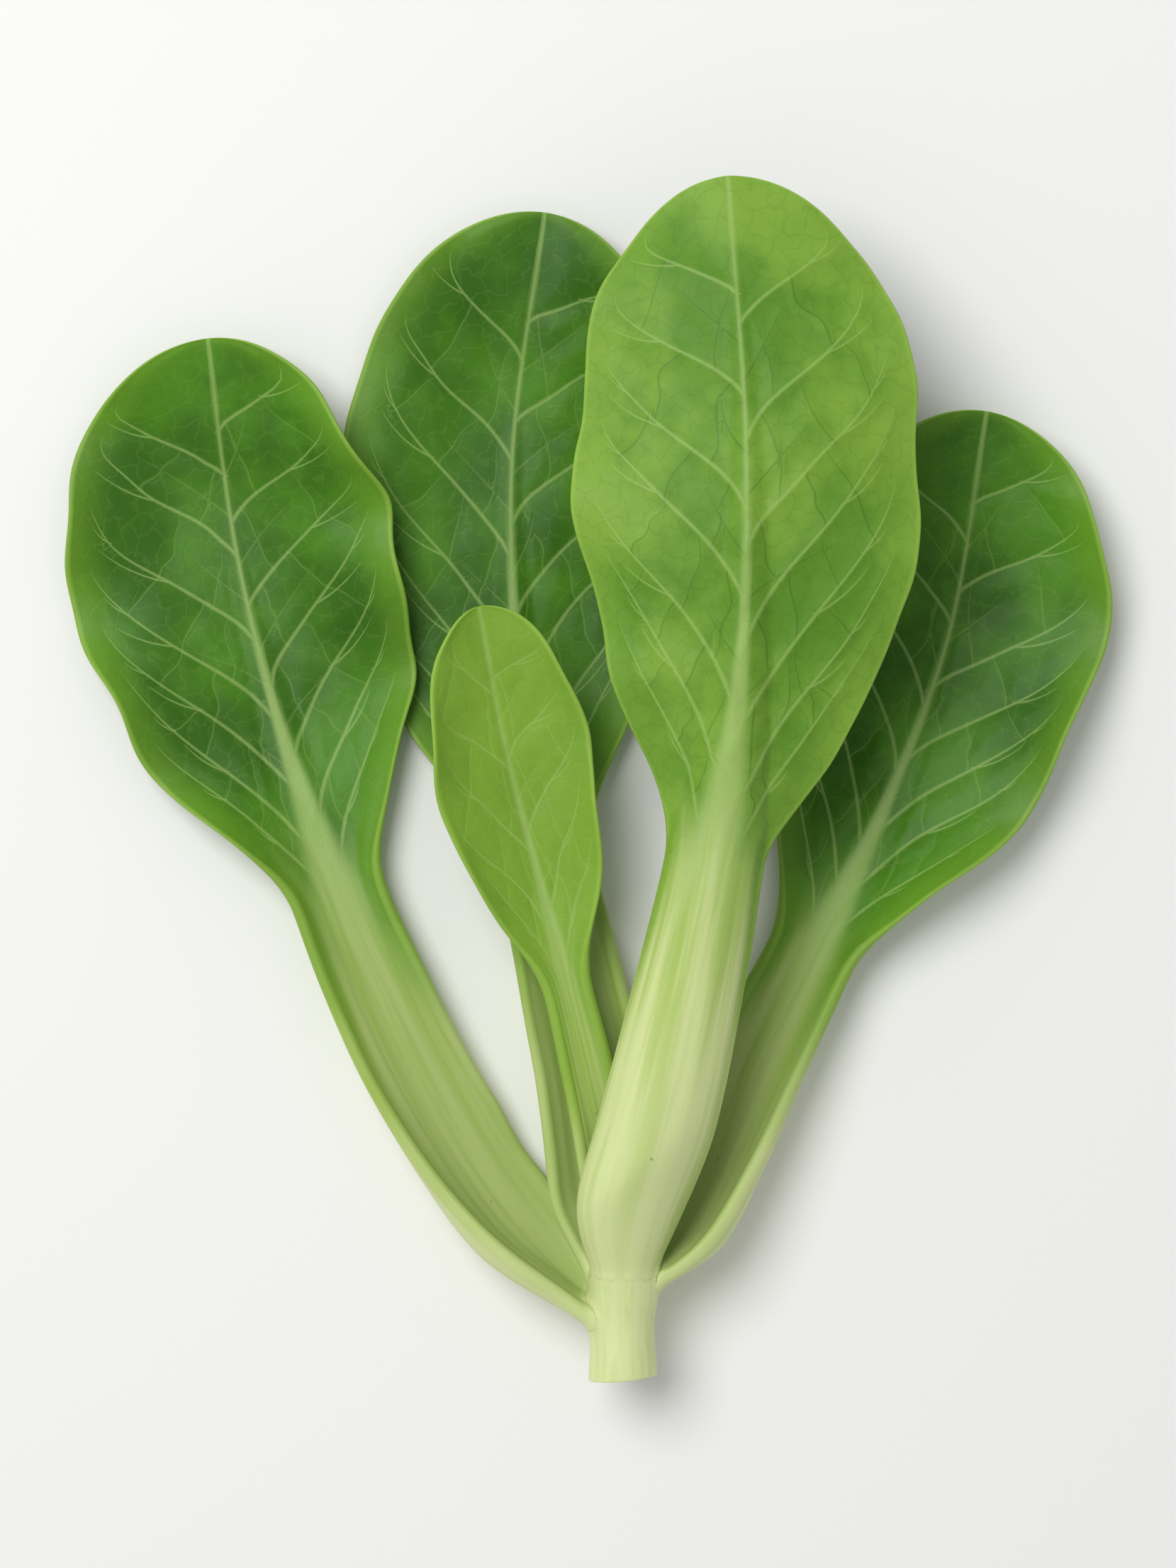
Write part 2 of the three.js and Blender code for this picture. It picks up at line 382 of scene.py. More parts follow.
@dataclass(frozen=True)
class LeafPlan:
    """One leaf's driving dimensions, the same as its solids'.

    inner_face gives which way the inner face looks at root, neck and tip. neck_at is the length of midline to
    the neck where the blade starts. Half-widths are measured round the curve. cup is in degrees at the
    margin.
    """

    name: str
    midline: Midline
    inner_face: tuple[Triple, Triple, Triple]
    neck_at: float
    stalk_half_width: float
    stalk_thickness: float
    blade_half_width: float
    cup: float
    wave: EdgeWave
    emergence: Emergence
    seed: int
    foot_lies_flat: bool = False
    main_veins: int = 7
    youth: float = 0.0


@dataclass(frozen=True)
class Sections:
    """A leaf's cross-sections at its stations. Each array has one row for a station."""

    centre: Array
    normal: Array
    side: Array
    half_width: Array
    rib_half_width: Array
    cup: Array
    edge: Array
    core: Array
    solid_edge: Array
    solid_core: Array
    along_stalk: Array
    along_blade: Array


@dataclass(frozen=True)
class Vein:
    """One vein on the flattened leaf: points of (along, across) in mm, and its half-width at each."""

    path: Array
    half_width: Array


@dataclass(frozen=True)
class VeinField:
    """Where the nearest vein lies from each grid point: side to side, how far, and how wide it is there."""

    side: Array
    far: Array
    half_width: Array

    def packed(self) -> Array:
        """The three values as one vector for each point."""
        return np.stack([self.side, self.far, self.half_width], axis=-1)


@dataclass(frozen=True)
class Venation:
    """The veins of one blade, grown from a seed.

    Main side veins leave the midrib at a low angle, cross the blade and turn along its margin. Each starts
    and ends further up than the one below it, so no two cross. They fork on their outer side, short spurs
    leave the midrib between them, and thin veins tie neighbours together. Starts and ends are shares of the
    blade's length, lengths are in mm and angles in degrees.
    """

    plan: LeafPlan
    stations: Array
    half_width: Array
    step: float = 0.7
    first_start: float = -0.12
    last_start: float = 0.8
    first_end: float = 0.34
    last_end: float = 0.92
    margin_share: float = 0.87
    hand_shift: float = 0.03
    start_scatter: float = 0.6
    end_scatter: float = 0.8
    crowding: float = 0.9
    s_bend: float = 0.62
    sway: float = 0.45
    top_width: float = 0.7
    thinning: float = 0.8
    fork_seed: int = 80
    thin_seed: int = 50
    fade_half_width: float = 0.03
    main_half_width: float = 0.3
    tie_half_width: float = 0.13
    tie_every: float = 5.0
    tie_span: tuple[float, float] = (0.3, 0.86)
    tie_scatter: float = 0.03
    tie_slant: float = 0.86
    tie_drop: float = 0.06
    tie_end_scatter: float = 0.04
    tie_lowest_end: float = 0.03
    tie_sway: float = 0.5
    tie_full_sway: float = 8.0
    tie_fade_share: float = 0.4
    tie_fade_power: float = 0.7
    tie_widths: tuple[float, float] = (0.6, 1.0)
    fork_shares: tuple[tuple[float, float], ...] = ((0.5, 0.62), (0.74, 0.84))
    fork_angle: tuple[float, float] = (20.0, 30.0)
    fork_bend: float = 28.0
    fork_width: float = 0.6
    fork_least: float = 0.8
    spur_angle: tuple[float, float] = (32.0, 46.0)
    spur_reach: float = 0.45
    spur_scatter: float = 2.0
    spur_bend: float = 0.2
    thin_step: float = 0.6
    long_vein: float = 17.0

    @property
    def blade_length(self) -> float:
        """Length of the midline from neck to tip."""
        return self.plan.midline.length - self.plan.neck_at

    @property
    def scale(self) -> float:
        """Size of the blade against a full-grown one's."""
        return self.plan.blade_half_width / FULL_HALF_WIDTH

    def half_width_at(self, s: Array) -> Array:
        """Half-width of the leaf at distances s along the midline."""
        return np.interp(s, self.stations, self.half_width)

    def main_vein(self, rng: np.random.Generator, hand: float, share: float) -> Vein:
        """Lay one side vein from the midrib to near the margin.

        Args:
            rng: Source of its small turns.
            hand: -1 for the left side and 1 for the right.
            share: 0 for the lowest vein and 1 for the highest.

        Returns:
            The vein.
        """
        lowest, length = self.plan.neck_at, self.blade_length
        start = lowest + length * (mix(self.first_start, self.last_start, share) + self.hand_shift * hand)
        end = lowest + length * mix(self.first_end, self.last_end, share**self.crowding)
        start += rng.normal(0.0, self.start_scatter)
        end += rng.normal(0.0, self.end_scatter)
        t = np.linspace(0.0, 1.0, max(8, int((end - start) / self.step)))
        s = start + (end - start) * t
        across = self.margin_share * mix(t, smooth(t), self.s_bend) * self.half_width_at(s)
        turns = sum(rng.normal(0.0, self.sway) * np.sin(math.pi * k * t) / k for k in (2, 3, 5))
        path = np.stack([s, hand * (across + turns * smooth(t * 4.0))], axis=-1)
        size = self.main_half_width * mix(1.0, self.top_width, share) * self.scale
        return Vein(path, 0.05 + size * (1.0 - t) ** self.thinning - 0.04 * t**4)

    def main_veins(self) -> dict[float, list[Vein]]:
        """Lay the side veins of both sides, from the neck to the tip.

        Returns:
            The veins of each side, in order.
        """
        rng = np.random.default_rng(self.plan.seed)
        shares = np.linspace(0.0, 1.0, self.plan.main_veins)
        return {hand: [self.main_vein(rng, hand, share) for share in shares] for hand in (-1.0, 1.0)}

    def forks(self, sides: dict[float, list[Vein]]) -> list[Vein]:
        """Lay the forks of the main veins: two on a long vein and one on a short one.

        Args:
            sides: The main veins of each side, in order.

        Returns:
            The forks.
        """
        rng = np.random.default_rng(self.plan.seed + self.fork_seed)
        found = []
        for hand, veins in sides.items():
            for vein in veins:
                count = 2 if len(vein.path) * self.step > self.long_vein else 1
                found += [self.fork(rng, hand, vein, where) for where in self.fork_shares[:count]]
        return found

    def fork(self, rng: np.random.Generator, hand: float, vein: Vein, where: tuple[float, float]) -> Vein:
        """Lay a branch that leaves a main vein on its outer side and fades before the margin.

        Args:
            rng: Source of its place and angle.
            hand: -1 for the left side and 1 for the right.
            vein: The main vein.
            where: The shares of its length between which the branch starts.

        Returns:
            The branch.
        """
        i = int(rng.uniform(*where) * (len(vein.path) - 1))
        start, run = vein.path[i], vein.path[i + 1] - vein.path[i - 1]
        turn = math.atan2(hand * run[1], run[0]) + math.radians(rng.uniform(*self.fork_angle))
        room = self.margin_share * float(self.half_width_at(start[0])) - abs(start[1])
        reach = max(room, self.fork_least) / max(math.sin(turn), 0.5)
        t = np.linspace(0.0, 1.0, max(6, int(reach / self.thin_step)))
        bearing = turn - math.radians(self.fork_bend) * t
        steps = reach / len(t) * np.stack([np.cos(bearing), hand * np.sin(bearing)], axis=-1)
        half_width = self.fade_half_width + self.fork_width * vein.half_width[i] * (1.0 - t) ** self.thinning
        return Vein(start + np.cumsum(steps, axis=0) - steps[0], half_width)

    def thin_veins(self, sides: dict[float, list[Vein]]) -> list[Vein]:
        """Lay the thin veins between the main ones.

        Args:
            sides: The main veins of each side, in order.

        Returns:
            Ties between neighbours, and short spurs from the midrib.
        """
        rng = np.random.default_rng(self.plan.seed + self.thin_seed)
        found = []
        for hand, veins in sides.items():
            for low, high in zip(veins, veins[1:]):
                found += self.ties(rng, low.path, high.path)
                found.append(self.spur(rng, hand, (low.path[0, 0] + high.path[0, 0]) / 2))
        return found

    def ties(self, rng: np.random.Generator, low: Array, high: Array) -> list[Vein]:
        """Tie two neighbouring veins together at even steps. Some ties fade half-way.

        Args:
            rng: Source of their small turns.
            low: Points of the lower vein.
            high: Points of the upper vein.

        Returns:
            The ties.
        """
        found = []
        length = len(low) * self.step
        for at in np.arange(*self.tie_span, self.tie_every / length):
            here = at + rng.uniform(-self.tie_scatter, self.tie_scatter)
            there = self.tie_slant * here - self.tie_drop
            there = there + rng.uniform(-self.tie_end_scatter, self.tie_end_scatter)
            start = low[int(here * (len(low) - 1))]
            end = high[int(max(there, self.tie_lowest_end) * (len(high) - 1))]
            gap = end - start
            count = max(5, int(np.hypot(*gap) / self.thin_step))
            t = np.linspace(0.0, 1.0, count)[:, None]
            sideways = np.array([-gap[1], gap[0]]) / max(np.hypot(*gap), 1e-6)
            sway = sum(rng.normal(0.0, self.tie_sway) * np.sin(math.pi * k * t) / k for k in (1, 2, 4))
            sway = sway * self.scale * min(1.0, np.hypot(*gap) / self.tie_full_sway)
            path = start + gap * t + sideways * sway
            whole = rng.uniform() > self.tie_fade_share
            fade = np.ones(count) if whole else np.linspace(1.0, 0.0, count) ** self.tie_fade_power
            half_width = self.tie_half_width * rng.uniform(*self.tie_widths) * fade
            found.append(Vein(path, self.fade_half_width + half_width))
        return found

    def spur(self, rng: np.random.Generator, hand: float, start: float) -> Vein:
        """Lay a short vein that leaves the midrib between two main ones and fades.

        Args:
            rng: Source of its length and angle.
            hand: -1 for the left side and 1 for the right.
            start: Where it leaves the midrib.

        Returns:
            The vein.
        """
        reach = self.spur_reach * float(self.half_width_at(start)) + rng.uniform(0.0, self.spur_scatter)
        angle = math.radians(rng.uniform(*self.spur_angle))
        t = np.linspace(0.0, 1.0, max(6, int(reach / self.thin_step)))
        bend = rng.normal(0.0, self.spur_bend) * reach * t * t
        across = reach * math.sin(angle) * t + bend
        path = np.stack([start + reach * math.cos(angle) * t, hand * across], axis=-1)
        return Vein(path, self.fade_half_width + self.tie_half_width * (1.0 - t))

    @staticmethod
    def field_of(veins: list[Vein], along: Array, across: Array) -> VeinField:
        """Find the nearest vein to each point of a grid.

        Args:
            veins: The veins to look at.
            along: Distance along the midline of each grid point.
            across: Distance from the midline of each grid point.

        Returns:
            The signed distance, the plain distance and the vein's half-width at each point.
        """
        reach = 6.0  # nothing reads a vein from further away
        far = np.full(along.shape, FAR_AWAY)
        side = np.full(along.shape, FAR_AWAY)
        width = np.zeros(along.shape)
        for vein in veins:
            low = vein.path.min(0) - reach
            high = vein.path.max(0) + reach
            near = (along > low[0]) & (along < high[0]) & (across > low[1]) & (across < high[1])
            spot = np.stack([along[near], across[near]], axis=-1)
            best, best_side, best_width = far[near], side[near], width[near]
            for i in range(len(vein.path) - 1):
                start, run = vein.path[i], vein.path[i + 1] - vein.path[i]
                offset = spot - start
                t = np.clip(offset @ run / (run @ run), 0.0, 1.0)
                gap = offset - t[:, None] * run
                distance = np.hypot(gap[:, 0], gap[:, 1])
                hand = np.where(run[0] * offset[:, 1] - run[1] * offset[:, 0] >= 0, 1.0, -1.0)
                closer = distance < best
                best = np.where(closer, distance, best)
                best_side = np.where(closer, distance * hand, best_side)
                here = mix(vein.half_width[i], vein.half_width[i + 1], t)
                best_width = np.where(closer, here, best_width)
            far[near], side[near], width[near] = best, best_side, best_width
        return VeinField(side, far, width)


def tube(rings: Array, turned: bool = False) -> tuple[Array, list[list[int]]]:
    """Join rings of points into a tube, with a fan of triangles at each end.

    Args:
        rings: The points, one ring a row.
        turned: Whether the rings run the other way round. The faces still look outwards.

    Returns:
        The points, followed by the middles of the first and the last ring, and the faces: the wall's, then
        the first end's, then the last end's.
    """
    rows, around = rings.shape[:2]
    ring = np.arange(around)
    after = (ring + 1) % around
    start = np.arange(rows - 1)[:, None] * around
    wall = np.stack([start + ring, start + after, start + around + after, start + around + ring], axis=-1)
    middle, last = rows * around, (rows - 1) * around
    first_fan = np.stack([0 * ring + middle, after, ring], axis=-1)
    last_fan = np.stack([0 * ring + middle + 1, last + ring, last + after], axis=-1)
    faces = wall.reshape(-1, 4).tolist() + first_fan.tolist() + last_fan.tolist()
    if turned:
        faces = [face[:1] + face[:0:-1] for face in faces]
    return np.concatenate([rings.reshape(-1, 3), rings[:1].mean(1), rings[-1:].mean(1)]), faces


def put(name: str, data: bpy.types.ID) -> Thing:
    """Make an object of a mesh, a lamp or a camera, and link it to the scene.

    Args:
        name: The object's name.
        data: What it shows.

    Returns:
        The object.
    """
    thing = bpy.data.objects.new(name, data)
    bpy.context.scene.collection.objects.link(thing)
    return thing


def make_object(name: str, points: Array, faces: list[list[int]], plant: PlantFrame) -> Thing:
    """Make a smooth mesh object in the row's frame.

    Args:
        name: The piece's name.
        points: Points in mm in the plant's frame, one a row.
        faces: Lists of point numbers.
        plant: The plant's frame.

    Returns:
        The object, linked to the scene.
    """
    mesh = bpy.data.meshes.new(name)
    mesh.from_pydata(plant.to_row(points).tolist(), [], faces)
    mesh.update()
    mesh.shade_smooth()
    return put(name, mesh)


def store(thing: Thing, name: str, values: Array) -> None:
    """Keep a number or a vector for each point of a mesh, for its material to read.

    Args:
        thing: The mesh object.
        name: The attribute's name.
        values: One number or one vector for each point.
    """
    kind = "FLOAT" if values.ndim == 1 else "FLOAT_VECTOR"
    attribute = thing.data.attributes.new(name, kind, "POINT")
    attribute.data.foreach_set("value" if values.ndim == 1 else "vector", values.astype(np.float32).ravel())


@dataclass(frozen=True)
class Skin:
    """The grown-together skin of stem and leaf feet: one soft surface over all of them.

    Each part's points move on to the level set of a soft minimum of the distances to every part, so the parts
    share the same surface where they meet, and it is rounded by about softness mm. The effect ends at top.
    Points that lie deeper than cover mm inside another part stay there, out of sight.
    """

    softness: float = 0.5
    top: float = 25.0
    fade: float = 14.0
    reach: float = 5.0
    cover: float = 0.5
    sure: float = 1.5
    cover_fade: float = 0.4
    longest_step: float = 0.6
    least_slope: float = 0.25
    least_softness: float = 0.01
    passes: int = 2

    @staticmethod
    def tree_of(rings: Array) -> BVHTree:
        """Index the tube of some rings, closed at its root and open at its far end."""
        points, faces = tube(rings)
        return BVHTree.FromPolygons(points.tolist(), faces[:-rings.shape[1]])

    def _look(self, tree: BVHTree, spots: Array) -> tuple[Array, Array]:
        """Measure how far a part's surface is from some spots.

        A spot is taken for inside only where the skin is nearer than sure mm, because folds at the roots
        mislead the test further away.

        Args:
            tree: The part.
            spots: The spots, one a row.

        Returns:
            The signed distance and the outward normal at each spot.
        """
        gaps = np.full(len(spots), self.reach)
        ways = np.zeros((len(spots), 3))
        for i, spot in enumerate(spots):
            place, normal, _, far = tree.find_nearest(spot, self.reach)
            if place is not None:
                inside = far < self.sure and (Vector(spot) - place).dot(normal) < 0.0
                gaps[i] = -far if inside else far
                ways[i] = normal
        return gaps, ways

    def drawn_over(self, points: Array, trees: list[BVHTree]) -> Array:
        """Move the points of one part on to the common skin.

        Args:
            points: The part's points, of any shape.
            trees: Every part, this one too.

        Returns:
            The moved points.
        """
        flat = points.reshape(-1, 3).copy()
        near = np.nonzero(flat[:, 1] < self.top)[0]
        spots = flat[near]
        moved = None
        for _ in range(self.passes):
            looks = [self._look(tree, spots) for tree in trees]
            gaps = np.stack([gap for gap, _ in looks])
            ways = np.stack([way for _, way in looks])
            soft = self.softness * smooth((self.top - spots[:, 1]) / self.fade) + self.least_softness
            least = gaps.min(0)
            pull = np.exp(-(gaps - least) / soft)
            level = least - soft * np.log(pull.sum(0))
            slope = (pull[..., None] * ways).sum(0) / pull.sum(0)[:, None]
            steep = np.maximum((slope**2).sum(1), self.least_slope)
            moved = smooth((least + self.cover) / self.cover_fade) if moved is None else moved
            step = np.clip(level / steep, -self.longest_step, self.longest_step)
            spots = spots - slope * step[:, None]
        flat[near] = mix(flat[near], spots, moved[:, None])
        return flat.reshape(points.shape)


@dataclass(frozen=True)
class Stem:
    """The cut stub of the stem: nearly smooth, a little waisted, cut aslant, with a hollow in the cut."""

    radius: float = STEM_RADIUS
    length: float = STEM_LENGTH
    waist: float = 0.24
    rib_height: float = 0.022
    rib_width: float = 1.3
    ribs: int = 9
    out_of_round: float = 0.09
    three_sided: float = 0.05
    unevenness_end: float = 12.0
    lip: float = 0.07
    lip_height: float = 0.14
    hollow: float = 0.3
    grain: float = 0.035
    scores: float = 0.05
    nicks: float = 0.012
    nicks_height: float = 0.5
    crown_height: float = 2.2
    around: int = 224
    up: int = 96
    face_rings: int = 24
    seed: int = 7

    def radius_at(self, y: Array) -> Array:
        """Find the plain radius, with a waist at mid-length and a dome above the shoulder.

        Args:
            y: Height above the cut in mm.

        Returns:
            The radius in mm.
        """
        waisted = self.radius - self.waist * np.sin(math.pi * np.clip(y / self.length, 0.0, 1.0)) ** 2
        dome = np.sqrt(np.clip(1.0 - ((y - self.length + 1.0) / (self.crown_height + 1.0)) ** 2, 0.0, 1.0))
        return np.where(y > self.length - 1.0, waisted * dome, waisted)

    @cached_property
    def _grid(self) -> tuple[Array, Array]:
        """Lay out the wall, with rings close together at the cut's edge.

        Returns:
            Turn and height of each point.
        """
        turn = np.linspace(0.0, 2 * math.pi, self.around, endpoint=False)
        edge = np.linspace(0.0, self.lip_height, 5)[:-1]
        climb = np.linspace(self.lip_height, self.length + self.crown_height - 0.02, self.up)
        return np.meshgrid(turn, np.concatenate([edge, climb]))

    @cached_property
    def wall(self) -> Array:
        """Shape the stub's side and dome, before the leaves join it.

        Returns:
            The points, one ring a row.
        """
        theta, y = self._grid
        ribs = Ripples(self.seed, self.rib_width).at(theta * self.radius, y * 0.05)
        ribs = ribs + 0.5 * np.cos(self.ribs * theta + 0.6)
        worn = self.lip * (1.0 - np.clip(y / self.lip_height, 0.0, 1.0)) ** 2
        nicks = self.nicks * Ripples(self.seed + 3, 0.8).at(theta * self.radius, y)
        nicks = nicks * (1.0 - smooth(y / self.nicks_height))
        uneven = self.out_of_round * np.cos(2 * theta + 0.8) + self.three_sided * np.cos(3 * theta + 2.1)
        uneven = uneven * (1.0 - smooth(y / self.unevenness_end))
        radius = self.radius_at(y) + self.rib_height * ribs - worn + nicks + uneven
        radius = np.maximum(radius, 0.02)
        return np.stack([radius * np.cos(theta), y, radius * np.sin(theta)], axis=-1)

    def build(self, plant: PlantFrame, wall: Array) -> Thing:
        """Close the drawn-over wall with its cut face, and store what the finish reads.

        Args:
            plant: The plant's frame.
            wall: The wall's points on the common skin.

        Returns:
            The stub's object.
        """
        shares = np.linspace(1.0, 0.0, self.face_rings + 1)[1:-1, None]
        rim = wall[0]
        centre = rim.mean(0)
        face = centre + (rim - centre) * shares[..., None]
        inland = smooth((1.0 - shares) * 5)
        grain = Ripples(self.seed + 1, 1.0).at(face[..., 0], face[..., 2])
        scores = Ripples(self.seed + 2, 2.6).at(face[..., 0] * 0.25, face[..., 2])
        face[..., 1] += self.hollow * (1.0 - shares**2) + (self.grain * grain + self.scores * scores) * inland
        rings = np.concatenate([face[::-1], wall])
        rings[..., 1] += CUT_SLOPE * rings[..., 0] * (1.0 - smooth(rings[..., 1] / self.length))
        points, faces = tube(rings, turned=True)
        thing = make_object("cut_stem", points, faces, plant)
        on_cut = np.zeros(len(points))
        on_cut[:face[..., 0].size] = 1.0
        on_cut[-2] = 1.0
        store(thing, "on_cut", on_cut)
        turn = np.tile(self._grid[0][0], len(rings))
        place = [self.radius * np.cos(turn), rings[..., 1].ravel(), self.radius * np.sin(turn)]
        store(thing, "place", np.concatenate([np.stack(place, axis=-1), np.zeros((2, 3))]))
        return thing


@dataclass(frozen=True)
class Relief:
    """How far things stand out from a leaf's plain section, and over what distances they fade, in mm.

    Starts are shares of the blade's length.
    """

    blade_start: float = 0.25
    quilt: float = 0.2
    quilt_gap: float = 3.4
    quilt_off_rib: float = 0.6
    fork_gap: float = 0.3
    twig_gap: float = 0.5
    calm_margin: float = 2.5
    swell: float = 0.36
    swell_stretch: float = 1.3
    pucker: float = 0.06
    vein_height: float = 0.2
    vein_groove: float = 0.1
    vein_foot: float = 0.4
    full_vein: float = 0.35
    twig_share: float = 0.3
    twig_foot: float = 0.42
    full_twig: float = 0.15
    channel: float = 0.22
    channel_foot: float = 0.25
    channel_share: float = 0.5
    strands: float = 0.07
    strands_inside: float = 0.6
    strands_stretch: float = 0.015
    strands_from: float = 8.0
    strands_over: float = 16.0
    strands_end: float = 0.3


@dataclass(frozen=True)
class Tint:
    """Where a stalk's pale tissue turns green, and how its colour goes from foot to neck and margin."""

    green_start: float = 13.0
    green_edge_lead: float = 10.0
    green_reach: float = 24.0
    patches: float = 2.2
    patch_stretch: float = 0.25
    streaks: float = 1.6
    streak_stretch: float = 0.04
    at_foot: float = 0.12
    climb: float = 0.68
    climb_power: float = 1.2
    at_margin: float = 0.28
    margin_start: float = 16.0
    rib_fade: float = 0.4
    margin_reach: float = 6.0
    # where the inner face's colour, with the stalk's painted shade, fades out next to the stem
    off_stem: tuple[float, float] = (0.1, 1.4)
    above_stem: tuple[float, float] = (12.0, 5.0)


@dataclass(frozen=True)
class Leaf:
    """One leaf as a single closed surface, from its foot in the stem to its tip.

    The blade is thinner than its solid, and lies in the middle of it. Arrays hold one row for a station.
    """

    plan: LeafPlan
    blade_thickness: float = 0.45
    solid_blade_thickness: float = 0.7
    stalk_edge: float = 1.2
    cup_at_root: float = 62.0
    cup_at_neck: float = 42.0
    rib_tip_half_width: float = 0.5
    rib_line_half_width: float = 0.28
    rib_line_share: float = 0.62
    rib_power: float = 1.6
    rib_line_power: float = 3.4
    outline_power: float = 4.0
    thinning: float = 2.0
    solid_thinning: float = 1.4
    neck_softness: float = 2.4
    neck_reach: float = 9.0
    station_gap: float = 0.42
    columns: int = 96
    tip_rows: int = 26
    tip_length: float = 6.0
    settle: float = 0.15
    cup_settle: float = 0.3
    arch_power: float = 1.6
    outline_noise: float = 0.014
    ragged_share: float = 0.2
    outline_start: float = 20.0
    margin_angles: Triple = (40.0, 90.0, 140.0)
    press_softness: float = 0.6
    foot_softness: float = 0.04
    foot_end: float = 12.0
    relief: Relief = Relief()
    tint: Tint = Tint()

    def _noise(self, field: Field, x: Array, y: Array) -> Array:
        """Read one of this leaf's random fields at x and y."""
        step, wavelength = field.value
        return Ripples(self.plan.seed + step, wavelength).at(x, y)

    @cached_property
    def stations(self) -> Array:
        """Space the stations along the midline, closer together at the round tip.

        Returns:
            Their distances from the root.
        """
        start = self.plan.midline.length - self.tip_length
        even = np.linspace(0.0, start, int(start / self.station_gap) + 1)
        ease = np.sin(np.linspace(0.0, math.pi / 2, self.tip_rows + 1)[1:])
        return np.concatenate([even, start + self.tip_length * ease])[:, None]

    def _shares(self, s: Array) -> tuple[Array, Array]:
        """Shares of the stalk's and of the blade's length that lie behind distances s."""
        neck = self.plan.neck_at
        return np.minimum(s / neck, 1.0), np.clip((s - neck) / (self.plan.midline.length - neck), 0.0, 1.0)

    def _rib_half_width(self, along_stalk: Array, along_blade: Array) -> Array:
        """Half-width of the stalk and of the thick rib that it runs on into."""
        stalk = self.plan.stalk_half_width * STALK_WIDTH.at(along_stalk)
        return mix(self.rib_tip_half_width, stalk, (1.0 - along_blade) ** self.rib_power)

    def _plain_half_width(self, s: Array) -> Array:
        """Half-width at distances s, with the solids' sharp neck.

        Args:
            s: Distances along the midline.

        Returns:
            The half-widths in mm.
        """
        along_stalk, along_blade = self._shares(s)
        rib = self._rib_half_width(along_stalk, along_blade)
        blade = self.plan.blade_half_width * BLADE_OUTLINE.at(along_blade)
        return (rib**self.outline_power + blade**self.outline_power) ** (1.0 / self.outline_power)

    def _half_width(self) -> Array:
        """Find the half-width at each station, with the corner at the neck drawn out soft.

        Returns:
            The half-widths in mm.
        """
        gap = 0.25
        fine = np.arange(0.0, self.plan.midline.length + gap, gap)
        plain = self._plain_half_width(np.minimum(fine, self.plan.midline.length))
        reach = int(3.0 * self.neck_softness / gap)
        weight = np.exp(-0.5 * (np.arange(-reach, reach + 1) * gap / self.neck_softness) ** 2)
        soft = np.convolve(np.pad(plain, reach, mode="edge"), weight / weight.sum(), "valid")
        near = smooth(2.0 - np.abs(fine - self.plan.neck_at) / self.neck_reach)
        exact = self._plain_half_width(self.stations)
        return mix(exact, np.interp(self.stations, fine, soft), np.interp(self.stations, fine, near))

    @cached_property
    def sections(self) -> Sections:
        """Work out the leaf's cross-sections, by the same rules as the solids'.

        Returns:
            The sections.
        """
        plan, s = self.plan, self.stations
        along_stalk, along_blade = self._shares(s)
        on_blade = s > plan.neck_at
        tangent = plan.midline.tangent(s)
        root, neck, tip = (np.array(v) for v in plan.inner_face)
        low = mix(root, neck, smooth(along_stalk)[..., None])
        high = mix(neck, tip, smooth(along_blade)[..., None])
        look = np.where(on_blade[..., None], high, low)
        normal = unit(look - tangent * np.sum(look * tangent, axis=-1, keepdims=True))
        depth = plan.stalk_thickness * STALK_DEPTH.at(along_stalk)
        stalk_cup = mix(self.cup_at_root, self.cup_at_neck, along_stalk)
        thin, solid_thin = ((1.0 - along_blade) ** power for power in (self.thinning, self.solid_thinning))
        settle = smooth(along_blade / self.settle)
        return Sections(
            centre=plan.midline.at(s),
            normal=normal,
            side=np.cross(tangent, normal),
            half_width=self._half_width(),
            rib_half_width=self._rib_half_width(along_stalk, along_blade),
            cup=np.radians(mix(stalk_cup, plan.cup, smooth(along_blade / self.cup_settle))),
            edge=mix(self.stalk_edge, self.blade_thickness, settle),
            core=np.where(on_blade, mix(self.blade_thickness, depth, thin), depth),
            solid_edge=mix(self.stalk_edge, self.solid_blade_thickness, settle),
            solid_core=np.where(on_blade, mix(self.solid_blade_thickness, depth, solid_thin), depth),
            along_stalk=along_stalk,
            along_blade=along_blade,
        )

    @cached_property
    def across_share(self) -> Array:
        """Share of the half-width at each column of the grid, -1 to 1."""
        return np.linspace(-1.0, 1.0, self.columns + 1)

    @cached_property
    def ring(self) -> tuple[Array, Array, Array, Array]:
        """The loop of points round a section, from the left margin over the inner face and back.

        Returns:
            Share of the half-width, depth below the inner face, how far it stands out round the margin, and
            the column of the leaf's grid that it belongs to.
        """
        cols = self.across_share
        phi = np.radians(self.margin_angles)
        ends = np.ones(3)
        share = np.concatenate([cols, ends, cols[::-1], -ends])
        depth = np.concatenate([0 * cols, (1 - np.cos(phi)) / 2, 0 * cols + 1, (1 + np.cos(phi)) / 2])
        round_out = np.concatenate([0 * cols, np.sin(phi), 0 * cols, -np.sin(phi)])
        index = np.arange(self.columns + 1)
        last = np.full(3, self.columns)
        column = np.concatenate([index, last, index[::-1], 0 * last])
        return share, depth, round_out, column

    @cached_property
    def grid(self) -> tuple[Array, Array]:
        """Along and across in mm of each point of the flattened leaf."""
        along = np.repeat(self.stations, self.columns + 1, axis=1)
        return along, self.sections.half_width * self.across_share

